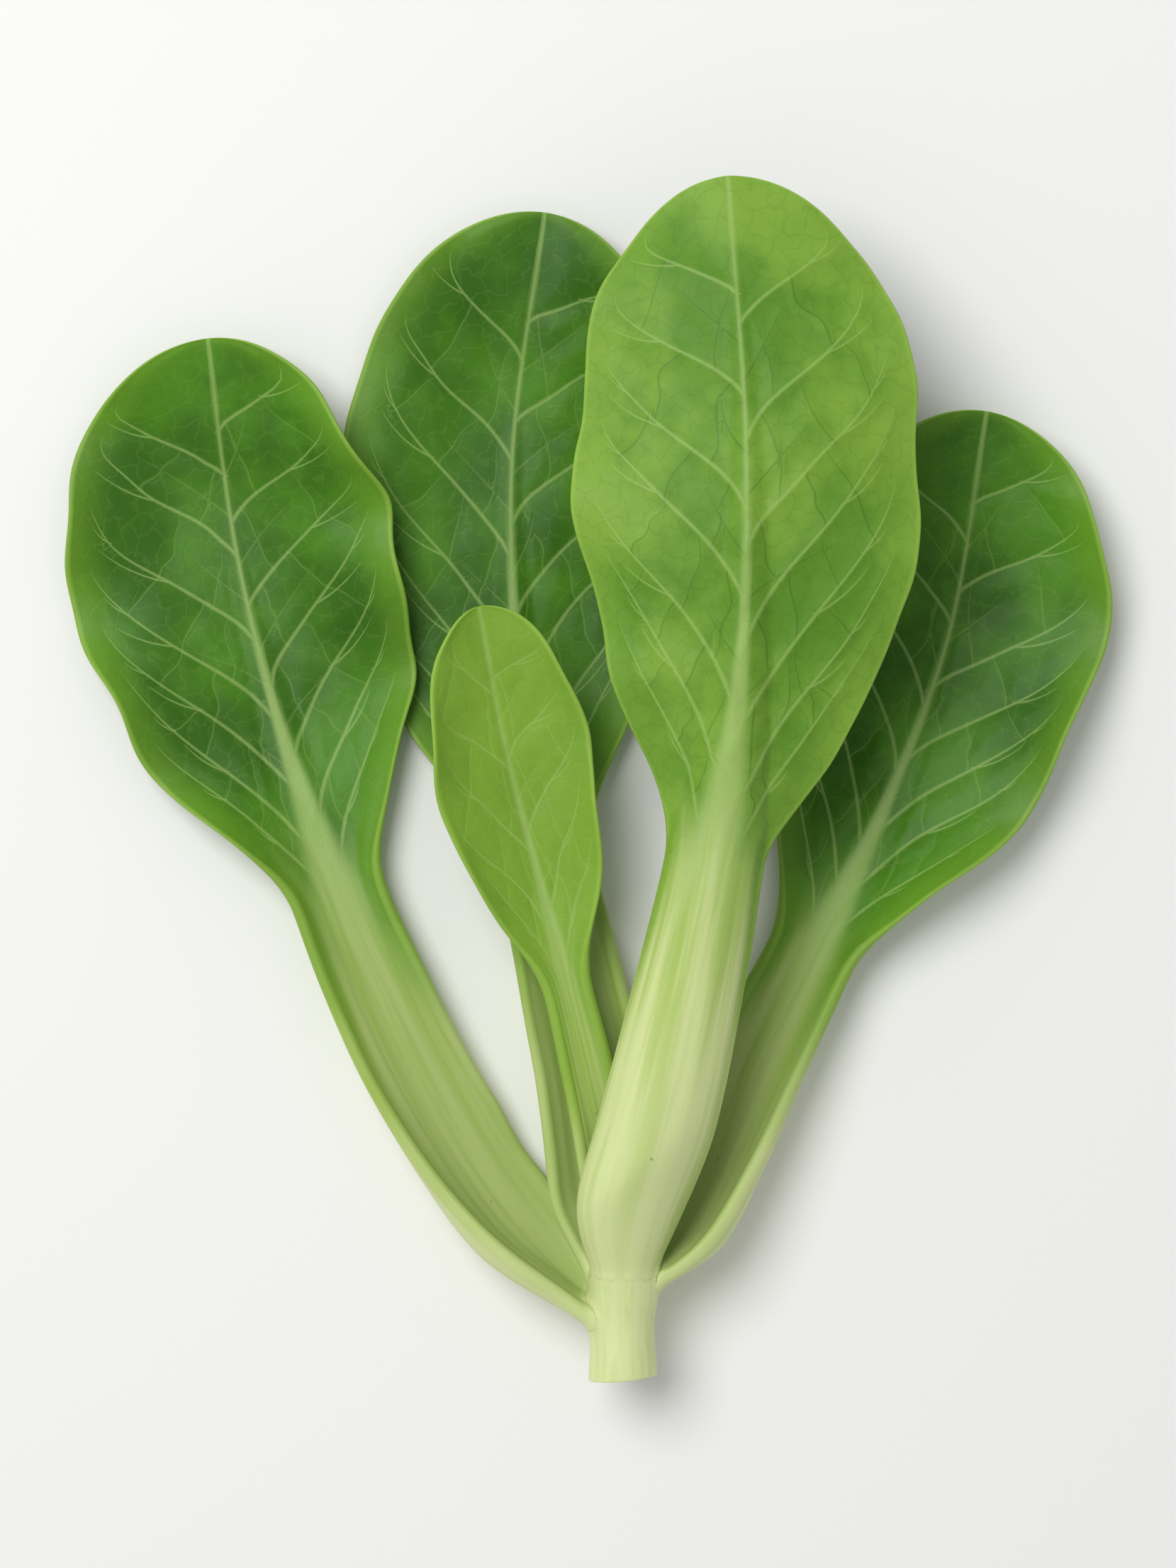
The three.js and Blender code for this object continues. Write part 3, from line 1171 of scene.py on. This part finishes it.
    @cached_property
    def veins(self) -> tuple[VeinField, VeinField, VeinField]:
        """Grow the veins and read them on the grid.

        Returns:
            The main veins, their forks and the thin ones.
        """
        venation = Venation(self.plan, self.stations.ravel(), self.sections.half_width.ravel())
        sides = venation.main_veins()
        main = [vein for veins in sides.values() for vein in veins]
        kinds = (main, venation.forks(sides), venation.thin_veins(sides))
        return tuple(venation.field_of(kind, *self.grid) for kind in kinds)

    @cached_property
    def visible_rib(self) -> Array:
        """Half-width of the pale midrib at each station."""
        fall = (1.0 - self.sections.along_blade) ** self.rib_line_power
        return mix(self.rib_line_half_width, self.rib_line_share * self.sections.rib_half_width, fall)

    def raised(self) -> tuple[Array, Array]:
        """Work out the height of the veins and of the tissue between them.

        Returns:
            How far the inner face and the outer face stand out from the plain section, in mm.
        """
        s, r = self.sections, self.relief
        along, across = self.grid
        main, fork, thin = self.veins
        on_blade = smooth(s.along_blade / r.blade_start)
        inland = smooth((s.half_width - np.abs(across)) / r.calm_margin)
        rib_gap = np.maximum(np.abs(across) - r.quilt_off_rib * s.rib_half_width, 0.0)
        gap = np.minimum.reduce([main.far, fork.far + r.fork_gap, thin.far + r.twig_gap, rib_gap])
        fill = r.quilt * smooth(gap / r.quilt_gap) * on_blade * inland
        slow = r.swell * self._noise(Field.SWELL, along, across * r.swell_stretch)
        slow = (slow + r.pucker * self._noise(Field.PUCKER, along, across)) * on_blade
        ridge = np.maximum(*(bell(vein.far / (r.vein_foot + vein.half_width))
                             * np.sqrt(vein.half_width / r.full_vein) for vein in (main, fork)))
        twig = bell(thin.far / r.twig_foot) * np.sqrt(thin.half_width / r.full_twig)
        lines = (ridge + r.twig_share * twig) * on_blade
        channel = bell(across / (r.channel_foot + r.channel_share * self.visible_rib)) * on_blade
        channel = r.channel * channel * np.sqrt(1.0 - s.along_blade)
        strands = self._noise(Field.STRANDS, self.across_share * STALK_SPAN, along * r.strands_stretch)
        strands = r.strands * strands * (1.0 - smooth(s.along_blade / r.strands_end))
        strands = strands * smooth((self.stations - r.strands_from) / r.strands_over)
        inner = fill + slow - r.vein_groove * lines - channel + r.strands_inside * strands
        outer = -fill - slow + r.vein_height * lines + strands
        return inner, outer

    def points(self) -> Array:
        """Place every ring of points, station by station.

        Returns:
            The points, one ring a row.
        """
        s = self.sections
        share, depth, round_out, column = self.ring
        edge = np.minimum(s.edge, s.half_width)
        a = share * (s.half_width - edge / 2) + round_out * edge / 2
        margin = np.sign(a) * 40.0
        ragged = self._noise(Field.OUTLINE, self.stations, margin)
        ragged = ragged + self.ragged_share * self._noise(Field.RAGGED, self.stations, margin)
        ragged = ragged * (a / s.half_width) ** 2 * smooth(self.stations / self.outline_start)
        a = a * (1.0 + self.outline_noise * ragged)
        towards = np.clip(a / s.half_width, -1.0, 1.0)
        arch = 1.0 - np.clip(a / s.rib_half_width, -1.0, 1.0) ** 2
        power = mix(1.0, self.arch_power, smooth(s.along_blade / self.cup_settle))
        thickness = mix(s.edge, s.core, arch**power)
        solid = mix(s.solid_edge, s.solid_core, arch)
        inner, outer = (face[:, column] for face in self.raised())
        lift = np.where(round_out == 0.0, mix(inner, -outer, depth), (inner - outer) / 2)
        below = depth * thickness + 0.5 * (solid - thickness) - lift
        radius = s.half_width / s.cup
        from_hub = radius + below - self.plan.wave.at(s.along_blade, towards)
        out = from_hub * np.sin(a / radius)
        up = radius - from_hub * np.cos(a / radius)
        points = s.centre + s.side * out[..., None] + s.normal * up[..., None]
        points[..., 2] = self._pressed(points[..., 2], depth, thickness)
        return points

    def _pressed(self, z: Array, depth: Array, thickness: Array) -> Array:
        """Press what would sink into the surface flat on it, both faces alike.

        Args:
            z: Height of each point.
            depth: Its share of the thickness below the inner face.
            thickness: Thickness of the leaf there.

        Returns:
            The heights above the surface.
        """
        inner_up = self.sections.normal[..., 2] > 0
        from_low_face = np.where(inner_up, 1.0 - depth, depth)
        lowest = SURFACE_Z + from_low_face * thickness
        softness = self.press_softness
        if self.plan.foot_lies_flat:
            past_foot = (self.stations - self.plan.neck_at + self.foot_end) / self.foot_end
            softness = mix(self.foot_softness, softness, smooth(past_foot))
            foot = self.stations < self.plan.neck_at
            lowest = np.where(foot & (from_low_face > 0.5), SURFACE_Z - 1.0, lowest)
        over = z - lowest
        return lowest + 0.5 * (over + np.hypot(over, softness))

    def rings(self) -> Array:
        """Points of every ring, with the foot tucked into the stem where it has not come out yet."""
        outer = 2 * self.columns + 4 - self.ring[3]
        return self.plan.emergence.tuck(self.points(), self.stations, outer)

    def build(self, plant: PlantFrame, rings: Array) -> Thing:
        """Make the leaf's mesh and store what its finish reads.

        Args:
            plant: The plant's frame.
            rings: Points of every ring.

        Returns:
            The leaf's object.
        """
        thing = make_object(self.plan.name, *tube(rings), plant)
        aside, over = self.tint.off_stem
        off_stem = smooth((np.hypot(rings[..., 0], rings[..., 2]) - STEM_RADIUS - aside) / over)
        height, over = self.tint.above_stem
        self._store_finish(thing, np.maximum(off_stem, smooth((rings[..., 1] - height) / over)))
        return thing

    def _store_finish(self, thing: Thing, off_stem: Array) -> None:
        """Store place, face, colour shares, rib, veins and margin for each point.

        Args:
            thing: The leaf's object.
            off_stem: For each point of the rings, 0 on the stem's skin and 1 well away from it.
        """
        s, seed, tint = self.sections, self.plan.seed, self.tint
        share, depth, _, column = self.ring
        along, across = self.grid
        towards = np.abs(self.across_share)
        fibre = self.across_share * STALK_SPAN * np.ones_like(along)
        uneven = tint.patches * self._noise(Field.GREENING, along * tint.patch_stretch, across)
        uneven = uneven + tint.streaks * self._noise(Field.STREAKS, fibre, along * tint.streak_stretch)
        past_start = self.stations - self.plan.neck_at + tint.green_start
        at_margin = tint.at_margin * towards**3 * smooth(along / tint.margin_start)
        on_grid = {
            "place": np.stack([along, across, 0 * along + seed], axis=-1),
            "fibre": np.stack([along, fibre, 0 * along + seed], axis=-1),
            "green": smooth((past_start + tint.green_edge_lead * towards**2 + uneven) / tint.green_reach),
            "tint": tint.at_foot + tint.climb * s.along_stalk**tint.climb_power + at_margin,
            "rib": bell((across / self.visible_rib) ** 2) * (1.0 - tint.rib_fade * s.along_blade),
        }
        on_grid |= dict(zip(VEIN_NAMES, (field.packed() for field in self.veins)))
        on_rings = {name: values[:, column] for name, values in on_grid.items()}
        # inner also sets how much painted shade a stalk's inner face takes; off_stem fades that out on the
        # stem's skin
        on_rings["inner"] = (1.0 - depth) * off_stem
        on_rings["margin"] = np.clip(s.half_width * (1.0 - np.abs(share)), 0.0, tint.margin_reach)
        for name, values in on_rings.items():
            flat = values.reshape(-1, *values.shape[2:])
            store(thing, name, np.concatenate([flat, flat[:1], flat[-1:]]))


@dataclass(frozen=True)
class Finish:
    """A material, and the one way that its nodes are added."""

    name: str

    @cached_property
    def material(self) -> bpy.types.Material:
        """Start the material.

        Returns:
            The material, empty until its nodes are added.
        """
        material = bpy.data.materials.new(self.name)
        material.use_nodes = True
        material.node_tree.nodes.clear()
        return material

    def add(self, kind: str, inputs: dict | tuple = (), out: str = "", **settings: object) -> Socket | None:
        """Add a node with its settings, its values and its links.

        Args:
            kind: The node's type, without the start that all shader nodes share.
            inputs: A value or another node's output for each input in use, by name or in order. In order, a
                MapRange has its value, the range that it reads and the range that it gives.
            out: Name of the output to return, or empty for the first in use.
            **settings: The node's own properties.

        Returns:
            The output.
        """
        tree = self.material.node_tree
        node = tree.nodes.new(f"ShaderNode{kind}")
        for name, value in settings.items():
            setattr(node, name, value)
        sockets = [socket for socket in node.inputs if socket.enabled]
        by_name = {socket.name: socket for socket in sockets}
        for key, value in inputs.items() if isinstance(inputs, dict) else enumerate(inputs):
            socket = by_name[key] if isinstance(inputs, dict) else sockets[key]
            if isinstance(value, Socket):
                tree.links.new(value, socket)
            else:
                socket.default_value = value
        results = [socket for socket in node.outputs if socket.enabled]
        return next((s for s in results if out in (s.identifier, s.name)), results[0] if results else None)


@dataclass(frozen=True)
class LeafTissue(Finish):
    """Fresh leaf tissue under a thin wax film, as it grew.

    The stalk is pale and juicy with strands along it, and the blade is green with a pale midrib. The wax
    gives a soft satin sheen. Light enters the tissue and comes out again, which softens every edge. Shares
    say how strongly one colour covers another, and lengths in mm are a pattern's real sizes.
    """

    name: str = "fresh_leaf_tissue"
    youth: float = 0.0
    # painted shade: the darker green that a stalk's concave inner face is turned towards, standing for the
    # shade in its hollow
    stalk_inner_shade: str = "#86a245"
    upper_dark: str = "#2e610b"
    upper_mid: str = "#4b8514"
    upper_light: str = "#78a62d"
    under_dark: str = "#588a22"
    under_light: str = "#82ab3c"
    vein_pale: str = "#a3c06c"
    # painted shade along the thinnest veins and the fine net on the outer face
    vein_shade: str = "#2b5714"
    vein_fine: str = "#7ea347"
    rim: str = "#a2c255"
    speck: str = "#66713a"
    rib_share: float = 0.85
    vein_share: float = 0.5
    tie_share: float = 0.36
    net_share: float = 0.12
    rim_share: float = 0.4
    shade_share: float = 0.6
    band_share: float = 0.55
    speck_share: float = 0.55
    light_margin_share: float = 0.5
    stalk_roughness: float = 0.45
    under_roughness: float = 0.56
    upper_roughness: float = 0.47
    patch_mm: float = 15.0
    strand_mm: float = 1.0
    strand_length_mm: float = 100.0 / 3.0
    band_mm: float = 2.5
    band_length_mm: float = 40.0
    cell_mm: float = 0.22
    net_mm: float = 2.6
    net_line_mm: float = 0.13
    vein_reach_mm: tuple[float, float] = (0.42, 0.58)
    rim_mm: tuple[float, float] = (0.05, 0.5)
    light_margin_mm: float = 5.5
    speck_gap_mm: float = 40.0 / 3.0
    speck_margin_mm: tuple[float, float] = (0.8, 1.4)

    def make(self) -> bpy.types.Material:
        """Build the material.

        Returns:
            The material.
        """
        inner, green = self.at["inner"], self.at["green"]
        colour = self.add("Mix", (green, self._stalk_colour(), self._blade_colour()), data_type="RGBA")
        rim = self.add("MapRange", (self.at["margin"], *self.rim_mm, self.rim_share, 0.0),
                       interpolation_type="SMOOTHSTEP")
        rim = self.add("Math", (rim, green), operation="MULTIPLY")
        colour = self.add("Mix", (rim, colour, linear(self.rim)), data_type="RGBA")
        blade_shine = self.add("MapRange", (inner, 0.0, 1.0, self.under_roughness, self.upper_roughness))
        shine = self.add("Mix", (green, self.stalk_roughness, blade_shine), data_type="FLOAT")
        shader = self.add("BsdfPrincipled", TISSUE_LIGHT | {
            "Base Color": colour, "Roughness": shine, "Normal": self._bump(), "Specular IOR Level": 0.3,
            "Coat Weight": 0.04})
        self.add("OutputMaterial", (shader,))
        return self.material

    @cached_property
    def at(self) -> dict[str, Socket]:
        """Read what each point of the mesh stores, and turn each vein field into the line of its veins.

        Returns:
            The outputs by name.
        """
        kinds = {"Fac": ("inner", "green", "rib", "margin", "tint"), "Vector": ("place", "fibre")}
        stored = {name: self.add("Attribute", out=kind, attribute_name=name)
                  for kind, names in kinds.items() for name in names}
        return stored | {name: self._vein_line(name) for name in VEIN_NAMES}

    def _vein_line(self, name: str) -> Socket:
        """Draw a soft line where the signed distance to the nearest vein crosses zero, as wide as the vein.

        Args:
            name: The stored vein field.

        Returns:
            1 on the vein and 0 away from it.
        """
        packed = self.add("Attribute", out="Vector", attribute_name=name)
        side, far, half_width = self.add("SeparateXYZ", (packed,)).node.outputs
        off = self.add("Math", (side,), operation="ABSOLUTE")
        outside = self.add("Math", (half_width, 1.5), operation="MULTIPLY")
        line = self.add("MapRange", (off, 0.0, outside, 1.0, 0.0), interpolation_type="SMOOTHSTEP")
        near = self.add("MapRange", (far, *self.vein_reach_mm, 1.0, 0.0))
        return self.add("Math", (line, near), operation="MULTIPLY")

    @cached_property
    def net(self) -> Socket:
        """Draw the fine net of the smallest veins, as the bent edges of small cells.

        Returns:
            1 on the net and 0 between its lines.
        """
        bent = self.add("TexNoise", {"Vector": self.at["place"], "Scale": 0.55, "Detail": 2.0}, out="Color")
        shift = self.add("VectorMath", (bent, 3.0), operation="SCALE")
        spot = self.add("VectorMath", (self.at["place"], shift), operation="ADD")
        edge = self.add("TexVoronoi", {"Vector": spot, "Scale": 1.0 / self.net_mm}, out="Distance",
                        feature="DISTANCE_TO_EDGE", voronoi_dimensions="2D")
        width = 1.6 * self.net_line_mm / self.net_mm
        return self.add("MapRange", (edge, 0.0, width, 1.0, 0.0), interpolation_type="SMOOTHSTEP")

    @cached_property
    def strands(self) -> Socket:
        """Draw the strands that run along a stalk.

        Returns:
            A soft pattern between 0 and 1.
        """
        size = (1.0 / self.strand_length_mm, 1.0 / self.strand_mm, 1.0)
        along = self.add("VectorMath", (self.at["fibre"], size), operation="MULTIPLY")
        noise = {"Vector": along, "Scale": 1.0, "Detail": 3.0, "Roughness": 0.6}
        return self.add("TexNoise", noise, out="Fac")

    def _stalk_colour(self) -> Socket:
        """Colour pale tissue with green strands, stronger upwards and at the edges, with painted shade on the
        stalk's concave inner face, and a few specks.

        Returns:
            The colour.
        """
        size = (1.0 / self.band_length_mm, 1.0 / self.band_mm, 1.0)
        broad = self.add("VectorMath", (self.at["fibre"], size), operation="MULTIPLY")
        bands = self.add("TexNoise", {"Vector": broad, "Scale": 1.0, "Detail": 1.0}, out="Fac")
        both = self.add("Mix", (self.band_share, self.strands, bands), data_type="FLOAT")
        streak = self.add("MapRange", (both, 0.4, 0.62, 0.25, 1.25), interpolation_type="SMOOTHSTEP")
        tinted = self.add("Math", (streak, self.at["tint"]), operation="MULTIPLY")
        colour = self.add("Mix", (tinted, linear(STALK_PALE), linear(STALK_GREEN)), data_type="RGBA")
        # painted shade on the stalk's inner face, full where inner is 1, standing for the shade in its hollow
        shaded = self.add("Math", (self.at["inner"], self.shade_share), operation="MULTIPLY")
        colour = self.add("Mix", (shaded, colour, linear(self.stalk_inner_shade)), data_type="RGBA")
        cells = self.add("TexVoronoi", {"Vector": self.at["place"], "Scale": 1.0 / self.speck_gap_mm},
                         out="Distance", voronoi_dimensions="2D")
        inland = self.add("MapRange", (self.at["margin"], *self.speck_margin_mm, 0.0, self.speck_share))
        dot = self.add("MapRange", (cells, 0.004, 0.015, inland, 0.0))
        return self.add("Mix", (dot, colour, linear(self.speck)), data_type="RGBA")

    def _blade_colour(self) -> Socket:
        """Colour green tissue in soft patches, lighter below and towards the margin, with pale veins.

        On the outer face the thinnest veins and the fine net are dark lines of painted shade, and on the
        inner face they are light lines of their own colour.

        Returns:
            The colour.
        """
        inner = self.at["inner"]
        noise = {"Vector": self.at["place"], "Scale": 1.0 / self.patch_mm, "Detail": 4.0, "Roughness": 0.55}
        patches = self.add("TexNoise", noise, out="Fac")
        patch = self.add("MapRange", (patches, 0.34, 0.66), interpolation_type="SMOOTHSTEP")
        inland_share = 0.05 + 0.5 * self.youth
        reads = (self.at["margin"], 0.0, self.light_margin_mm, self.light_margin_share, inland_share)
        band = self.add("MapRange", reads, interpolation_type="SMOOTHSTEP")
        faces = []
        for dark, mid, light in ((self.under_dark, self.under_light, self.under_light),
                                 (self.upper_dark, self.upper_mid, self.upper_light)):
            face = self.add("Mix", (patch, linear(dark), linear(mid)), data_type="RGBA")
            faces.append(self.add("Mix", (band, face, linear(light)), data_type="RGBA"))
        colour = self.add("Mix", (inner, *faces), data_type="RGBA")
        main = self.add("Math", (self.at["main_vein"], self.at["vein_fork"]), operation="MAXIMUM")
        shares = ((self.net, self.net_share), (self.at["thin_vein"], self.tie_share),
                  (self.at["rib"], self.rib_share), (main, self.vein_share))
        net, ties, rib, main = (self.add("Math", pair, operation="MULTIPLY") for pair in shares)
        fine = self.add("Math", (net, ties), operation="MAXIMUM")
        # painted shade: dark lines on the outer face stand for the shade along the thin veins and the net;
        # the light lines on the inner face are their own colour
        line = self.add("Mix", (inner, linear(self.vein_shade), linear(self.vein_fine)), data_type="RGBA")
        colour = self.add("Mix", (fine, colour, line), data_type="RGBA")
        pale = self.add("Math", (rib, main), operation="MAXIMUM")
        return self.add("Mix", (pale, colour, linear(self.vein_pale)), data_type="RGBA")

    def _bump(self) -> Socket:
        """Raise fine relief: cells of the skin, strands on the stalk, and the smaller veins on the blade.

        Returns:
            The normal.
        """
        green = self.at["green"]
        cells = self.add("TexNoise", {"Vector": self.at["place"], "Scale": 1.0 / self.cell_mm, "Detail": 1.0},
                         out="Fac")
        skin = self.add("Bump", {"Height": cells, "Strength": 0.12, "Distance": 0.04 * MM})
        pale = self.add("Math", (green, -0.9, 1.0), operation="MULTIPLY_ADD")
        ridges = self.add("Math", (self.strands, pale), operation="MULTIPLY")
        stalk = self.add("Bump", {"Height": ridges, "Normal": skin, "Strength": 0.5, "Distance": 0.1 * MM})
        lines = self.add("Math", (self.at["thin_vein"], self.net), operation="MAXIMUM")
        sunk = self.add("Math", (lines, green), operation="MULTIPLY")
        return self.add("Bump", {"Height": sunk, "Normal": stalk, "Strength": 0.3, "Distance": 0.04 * MM},
                        invert=True)


@dataclass(frozen=True)
class StemTissue(Finish):
    """The stem's skin and its knife-cut face.

    The skin is as pale and waxy as the stalks, with faint long strands. The cut face is moist pith, a little
    rougher, dotted with strand ends.
    """

    name: str = "cut_stem_tissue"
    pith: str = "#d3dea2"
    strand_end: str = "#adc075"
    strand_mm: float = 0.8
    strand_length_mm: float = 6.25
    strand_end_mm: float = 0.7
    skin_roughness: float = 0.42
    cut_roughness: float = 0.55

    def make(self) -> bpy.types.Material:
        """Build the material.

        Returns:
            The material.
        """
        place = self.add("Attribute", out="Vector", attribute_name="place")
        on_cut = self.add("Attribute", out="Fac", attribute_name="on_cut")
        where = self.add("TexCoord", out="Object")
        size = (1.0 / self.strand_mm, 1.0 / self.strand_length_mm, 1.0 / self.strand_mm)
        long = self.add("VectorMath", (place, size), operation="MULTIPLY")
        strands = self.add("TexNoise", {"Vector": long, "Scale": 1.0, "Detail": 3.0}, out="Fac")
        streak = self.add("MapRange", (strands, 0.45, 0.7, 0.04, 0.2), interpolation_type="SMOOTHSTEP")
        skin = self.add("Mix", (streak, linear(STALK_PALE), linear(STALK_GREEN)), data_type="RGBA")
        ends = self.add("TexVoronoi", {"Vector": where, "Scale": 1.0 / (self.strand_end_mm * MM)},
                        out="Distance")
        dot = self.add("MapRange", (ends, 0.2, 0.45, 0.45, 0.0))
        pith = self.add("Mix", (dot, linear(self.pith), linear(self.strand_end)), data_type="RGBA")
        colour = self.add("Mix", (on_cut, skin, pith), data_type="RGBA")
        normal = self.add("Bump", {"Height": strands, "Strength": 0.5, "Distance": 0.1 * MM})
        shine = self.add("MapRange", (on_cut, 0.0, 1.0, self.skin_roughness, self.cut_roughness))
        shader = self.add("BsdfPrincipled", TISSUE_LIGHT | {
            "Base Color": colour, "Roughness": shine, "Normal": normal, "Coat Weight": 0.05})
        self.add("OutputMaterial", (shader,))
        return self.material


@dataclass(frozen=True)
class Studio:
    """A matte white table, soft daylight all round, a large soft lamp, and a camera straight above."""

    floor_size: float = 3.0
    floor_white: str = "#f4f4f2"
    frame_height: float = 0.166
    lens: float = 100.0
    sensor: float = 36.0
    world_strength: float = 0.45
    lamp_power: float = 5.0
    lamp_size: float = 0.55
    lamp_at: Triple = (-0.32, 0.28, 0.75)

    def build(self) -> None:
        """Make the table, the lights and the camera."""
        self._table()
        self._lights()
        self._camera()
        view = bpy.context.scene.view_settings
        view.view_transform = "Standard"
        view.look = "None"

    def _table(self) -> None:
        """A plain matte table top."""
        half = self.floor_size / 2
        mesh = bpy.data.meshes.new("table_top")
        corners = [(-half, -half, 0), (half, -half, 0), (half, half, 0), (-half, half, 0)]
        mesh.from_pydata(corners, [], [(0, 1, 2, 3)])
        paper = Finish("matte_white_paper")
        shader = paper.add("BsdfPrincipled", {"Base Color": linear(self.floor_white), "Roughness": 0.8})
        paper.add("OutputMaterial", (shader,))
        mesh.materials.append(paper.material)
        put("table_top", mesh)

    def _lights(self) -> None:
        """Even daylight from the world, and one large lamp above and to the upper left."""
        world = bpy.data.worlds.new("soft_daylight")
        world.use_nodes = True
        bpy.context.scene.world = world
        background = next(n for n in world.node_tree.nodes if n.type == "BACKGROUND")
        background.inputs["Color"].default_value = (1.0, 1.0, 1.0, 1.0)
        background.inputs["Strength"].default_value = self.world_strength
        lamp = bpy.data.lights.new("soft_lamp", "AREA")
        lamp.energy = self.lamp_power
        lamp.shape = "DISK"
        lamp.size = self.lamp_size
        holder = put("soft_lamp", lamp)
        holder.location = self.lamp_at
        holder.rotation_euler = Vector(self.lamp_at).to_track_quat("Z", "Y").to_euler()

    def _camera(self) -> None:
        """A long lens straight above the middle of the plant."""
        camera = bpy.data.cameras.new("overhead_camera")
        camera.lens = self.lens
        camera.sensor_width = self.sensor
        middle = (cad_low + cad_high) / 2
        holder = put("overhead_camera", camera)
        holder.location = (middle.x, middle.y, cad_high.z + self.frame_height * self.lens / self.sensor)
        bpy.context.scene.camera = holder


LEAF_PLANS = (
    LeafPlan(
        "front_leaf",
        Midline(((0.2, 5, 0.6), (0.3, 11, 1.9), (1.0, 18, 4.2), (3.4, 27, 5.6), (6.3, 39.5, 6.9),
                 (9.8, 57, 9.3), (12.6, 78, 12.6), (13.0, 102, 13.6), (11.2, 130, 9.6))),
        ((0, 0, -1), (0.06, 0, -1), (0.1, 0, -1)),
        neck_at=53, stalk_half_width=6.3, stalk_thickness=4.6, blade_half_width=18.8, cup=19,
        wave=EdgeWave(1.0, 3.2, 0.4),
        emergence=Emergence(9.6, 0.5), seed=11,
    ),
    LeafPlan(
        "left_leaf",
        Midline(((0.5, 4.5, -0.2), (-3.6, 8.0, -1.2), (-9.4, 13.2, -3.0), (-14.6, 19.2, -4.0),
                 (-20.2, 28, -4.4), (-26.0, 39.5, -4.9), (-32.0, 54, -5.4), (-38.8, 74, -7.1),
                 (-43.6, 94, -7.3), (-45.8, 114, -3.8))),
        ((0.6, 0.6, 0.55), (0.12, 0.05, 1), (-0.2, 0, 1)),
        neck_at=59, stalk_half_width=6.3, stalk_thickness=4.2, blade_half_width=18.8, cup=24,
        wave=EdgeWave(1.1, 3.4, 3.3),
        emergence=Emergence(5.2, 1.8), seed=23,
    ),
    LeafPlan(
        "back_leaf",
        Midline(((-0.2, 5, -0.6), (-0.6, 11, -2.0), (-1.6, 18, -4.7), (-2.9, 29, -4.65), (-5.0, 40, -4.7),
                 (-8.6, 57, -5.3), (-11.6, 78, -7.8), (-12.2, 102, -7.6), (-8.6, 128, -4.4))),
        ((0, 0, 1), (0, 0, 1), (0, 0, 1)),
        neck_at=53, stalk_half_width=6.2, stalk_thickness=4.4, blade_half_width=18.6, cup=3,
        wave=EdgeWave(0.4, 3.0, 1.2),
        emergence=Emergence(7.9, 0.6), seed=37, foot_lies_flat=True,
    ),
    LeafPlan(
        "right_leaf",
        Midline(((0.2, 5.5, -0.4), (3.2, 10.3, -1.2), (7.4, 16.6, -3.0), (11.2, 24.6, -4.0),
                 (15.8, 35.5, -4.4), (22.0, 48, -5.2), (29.8, 64, -6.8), (36.6, 83, -7.7),
                 (40.2, 106, -4.2))),
        ((-0.6, 0.4, 0.6), (-0.3, 0.1, 0.95), (-0.04, 0, 1)),
        neck_at=46, stalk_half_width=5.9, stalk_thickness=4.0, blade_half_width=17.4, cup=22,
        wave=EdgeWave(1.1, 3.2, 4.0),
        emergence=Emergence(9.2, 1.9, softness=1.6), seed=41,
    ),
    LeafPlan(
        "heart_leaf",
        Midline(((0, 8, 0), (-0.5, 15, 0.2), (-2.4, 27, 0.6), (-5.4, 40, 1.3), (-9.0, 54, 2.4),
                 (-13.0, 70, 4.4), (-15.6, 84, 7.0))),
        ((0, 0, 1), (0.1, 0, 1), (0.2, 0, 1)),
        neck_at=36, stalk_half_width=2.8, stalk_thickness=2.2, blade_half_width=9.2, cup=38,
        wave=EdgeWave(0.5, 2.6, 0.9),
        emergence=Emergence(9.3, 0.8), seed=59, main_veins=5, youth=1.0,
    ),
)


@dataclass(frozen=True)
class BokChoy:
    """The whole plant: the cut stem and its five leaves."""

    stem: Stem = Stem()
    skin: Skin = Skin()
    foot_reach: float = 32.0

    def build(self) -> None:
        """Make and dress every piece."""
        plant = PlantFrame.from_stem()
        tissue = LeafTissue().make()
        young = LeafTissue(name="young_leaf_tissue", youth=1.0, upper_dark="#55881f", upper_mid="#719f2b",
                           # the stalk's inner-face colour below is painted shade for the young stalk's hollow
                           upper_light="#92b740", stalk_inner_shade="#8fae42", vein_fine="#9dc05a").make()
        leaves = [Leaf(plan, columns=60 if plan.youth else 96) for plan in LEAF_PLANS]
        skins = [leaf.rings() for leaf in leaves]
        feet = [rings[leaf.stations[:, 0] < self.foot_reach] for leaf, rings in zip(leaves, skins)]
        trees = [self.skin.tree_of(rings) for rings in feet] + [self.skin.tree_of(self.stem.wall[:, ::-1])]
        for leaf, rings in zip(leaves, skins):
            piece = leaf.build(plant, self.skin.drawn_over(rings, trees))
            piece.data.materials.append(young if leaf.plan.youth else tissue)
            self._stands_for(piece, Slot.BLADE, f"{leaf.plan.name}_stalk", f"{leaf.plan.name}_blade")
        stub = self.stem.build(plant, self.skin.drawn_over(self.stem.wall, trees))
        stub.data.materials.append(StemTissue().make())
        self._stands_for(stub, Slot.STEM, "stem_base")

    @staticmethod
    def _stands_for(piece: Thing, slot: Slot, *nodes: str) -> None:
        """Let a piece ride on the plant's one body, in place of its solids.

        Args:
            piece: The piece's object.
            slot: Its material slot name. Not used.
            *nodes: The solids that it replaces.
        """
        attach(piece, "root")
        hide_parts(*nodes)
        log.info("%s: %d faces for %s", piece.name, len(piece.data.polygons), ", ".join(nodes))


def main() -> None:
    """Build the studio and the plant."""
    logging.basicConfig(level=logging.INFO, format="%(name)s: %(message)s")
    Studio().build()
    BokChoy().build()
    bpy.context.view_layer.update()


if __name__ == "__main__":
    main()
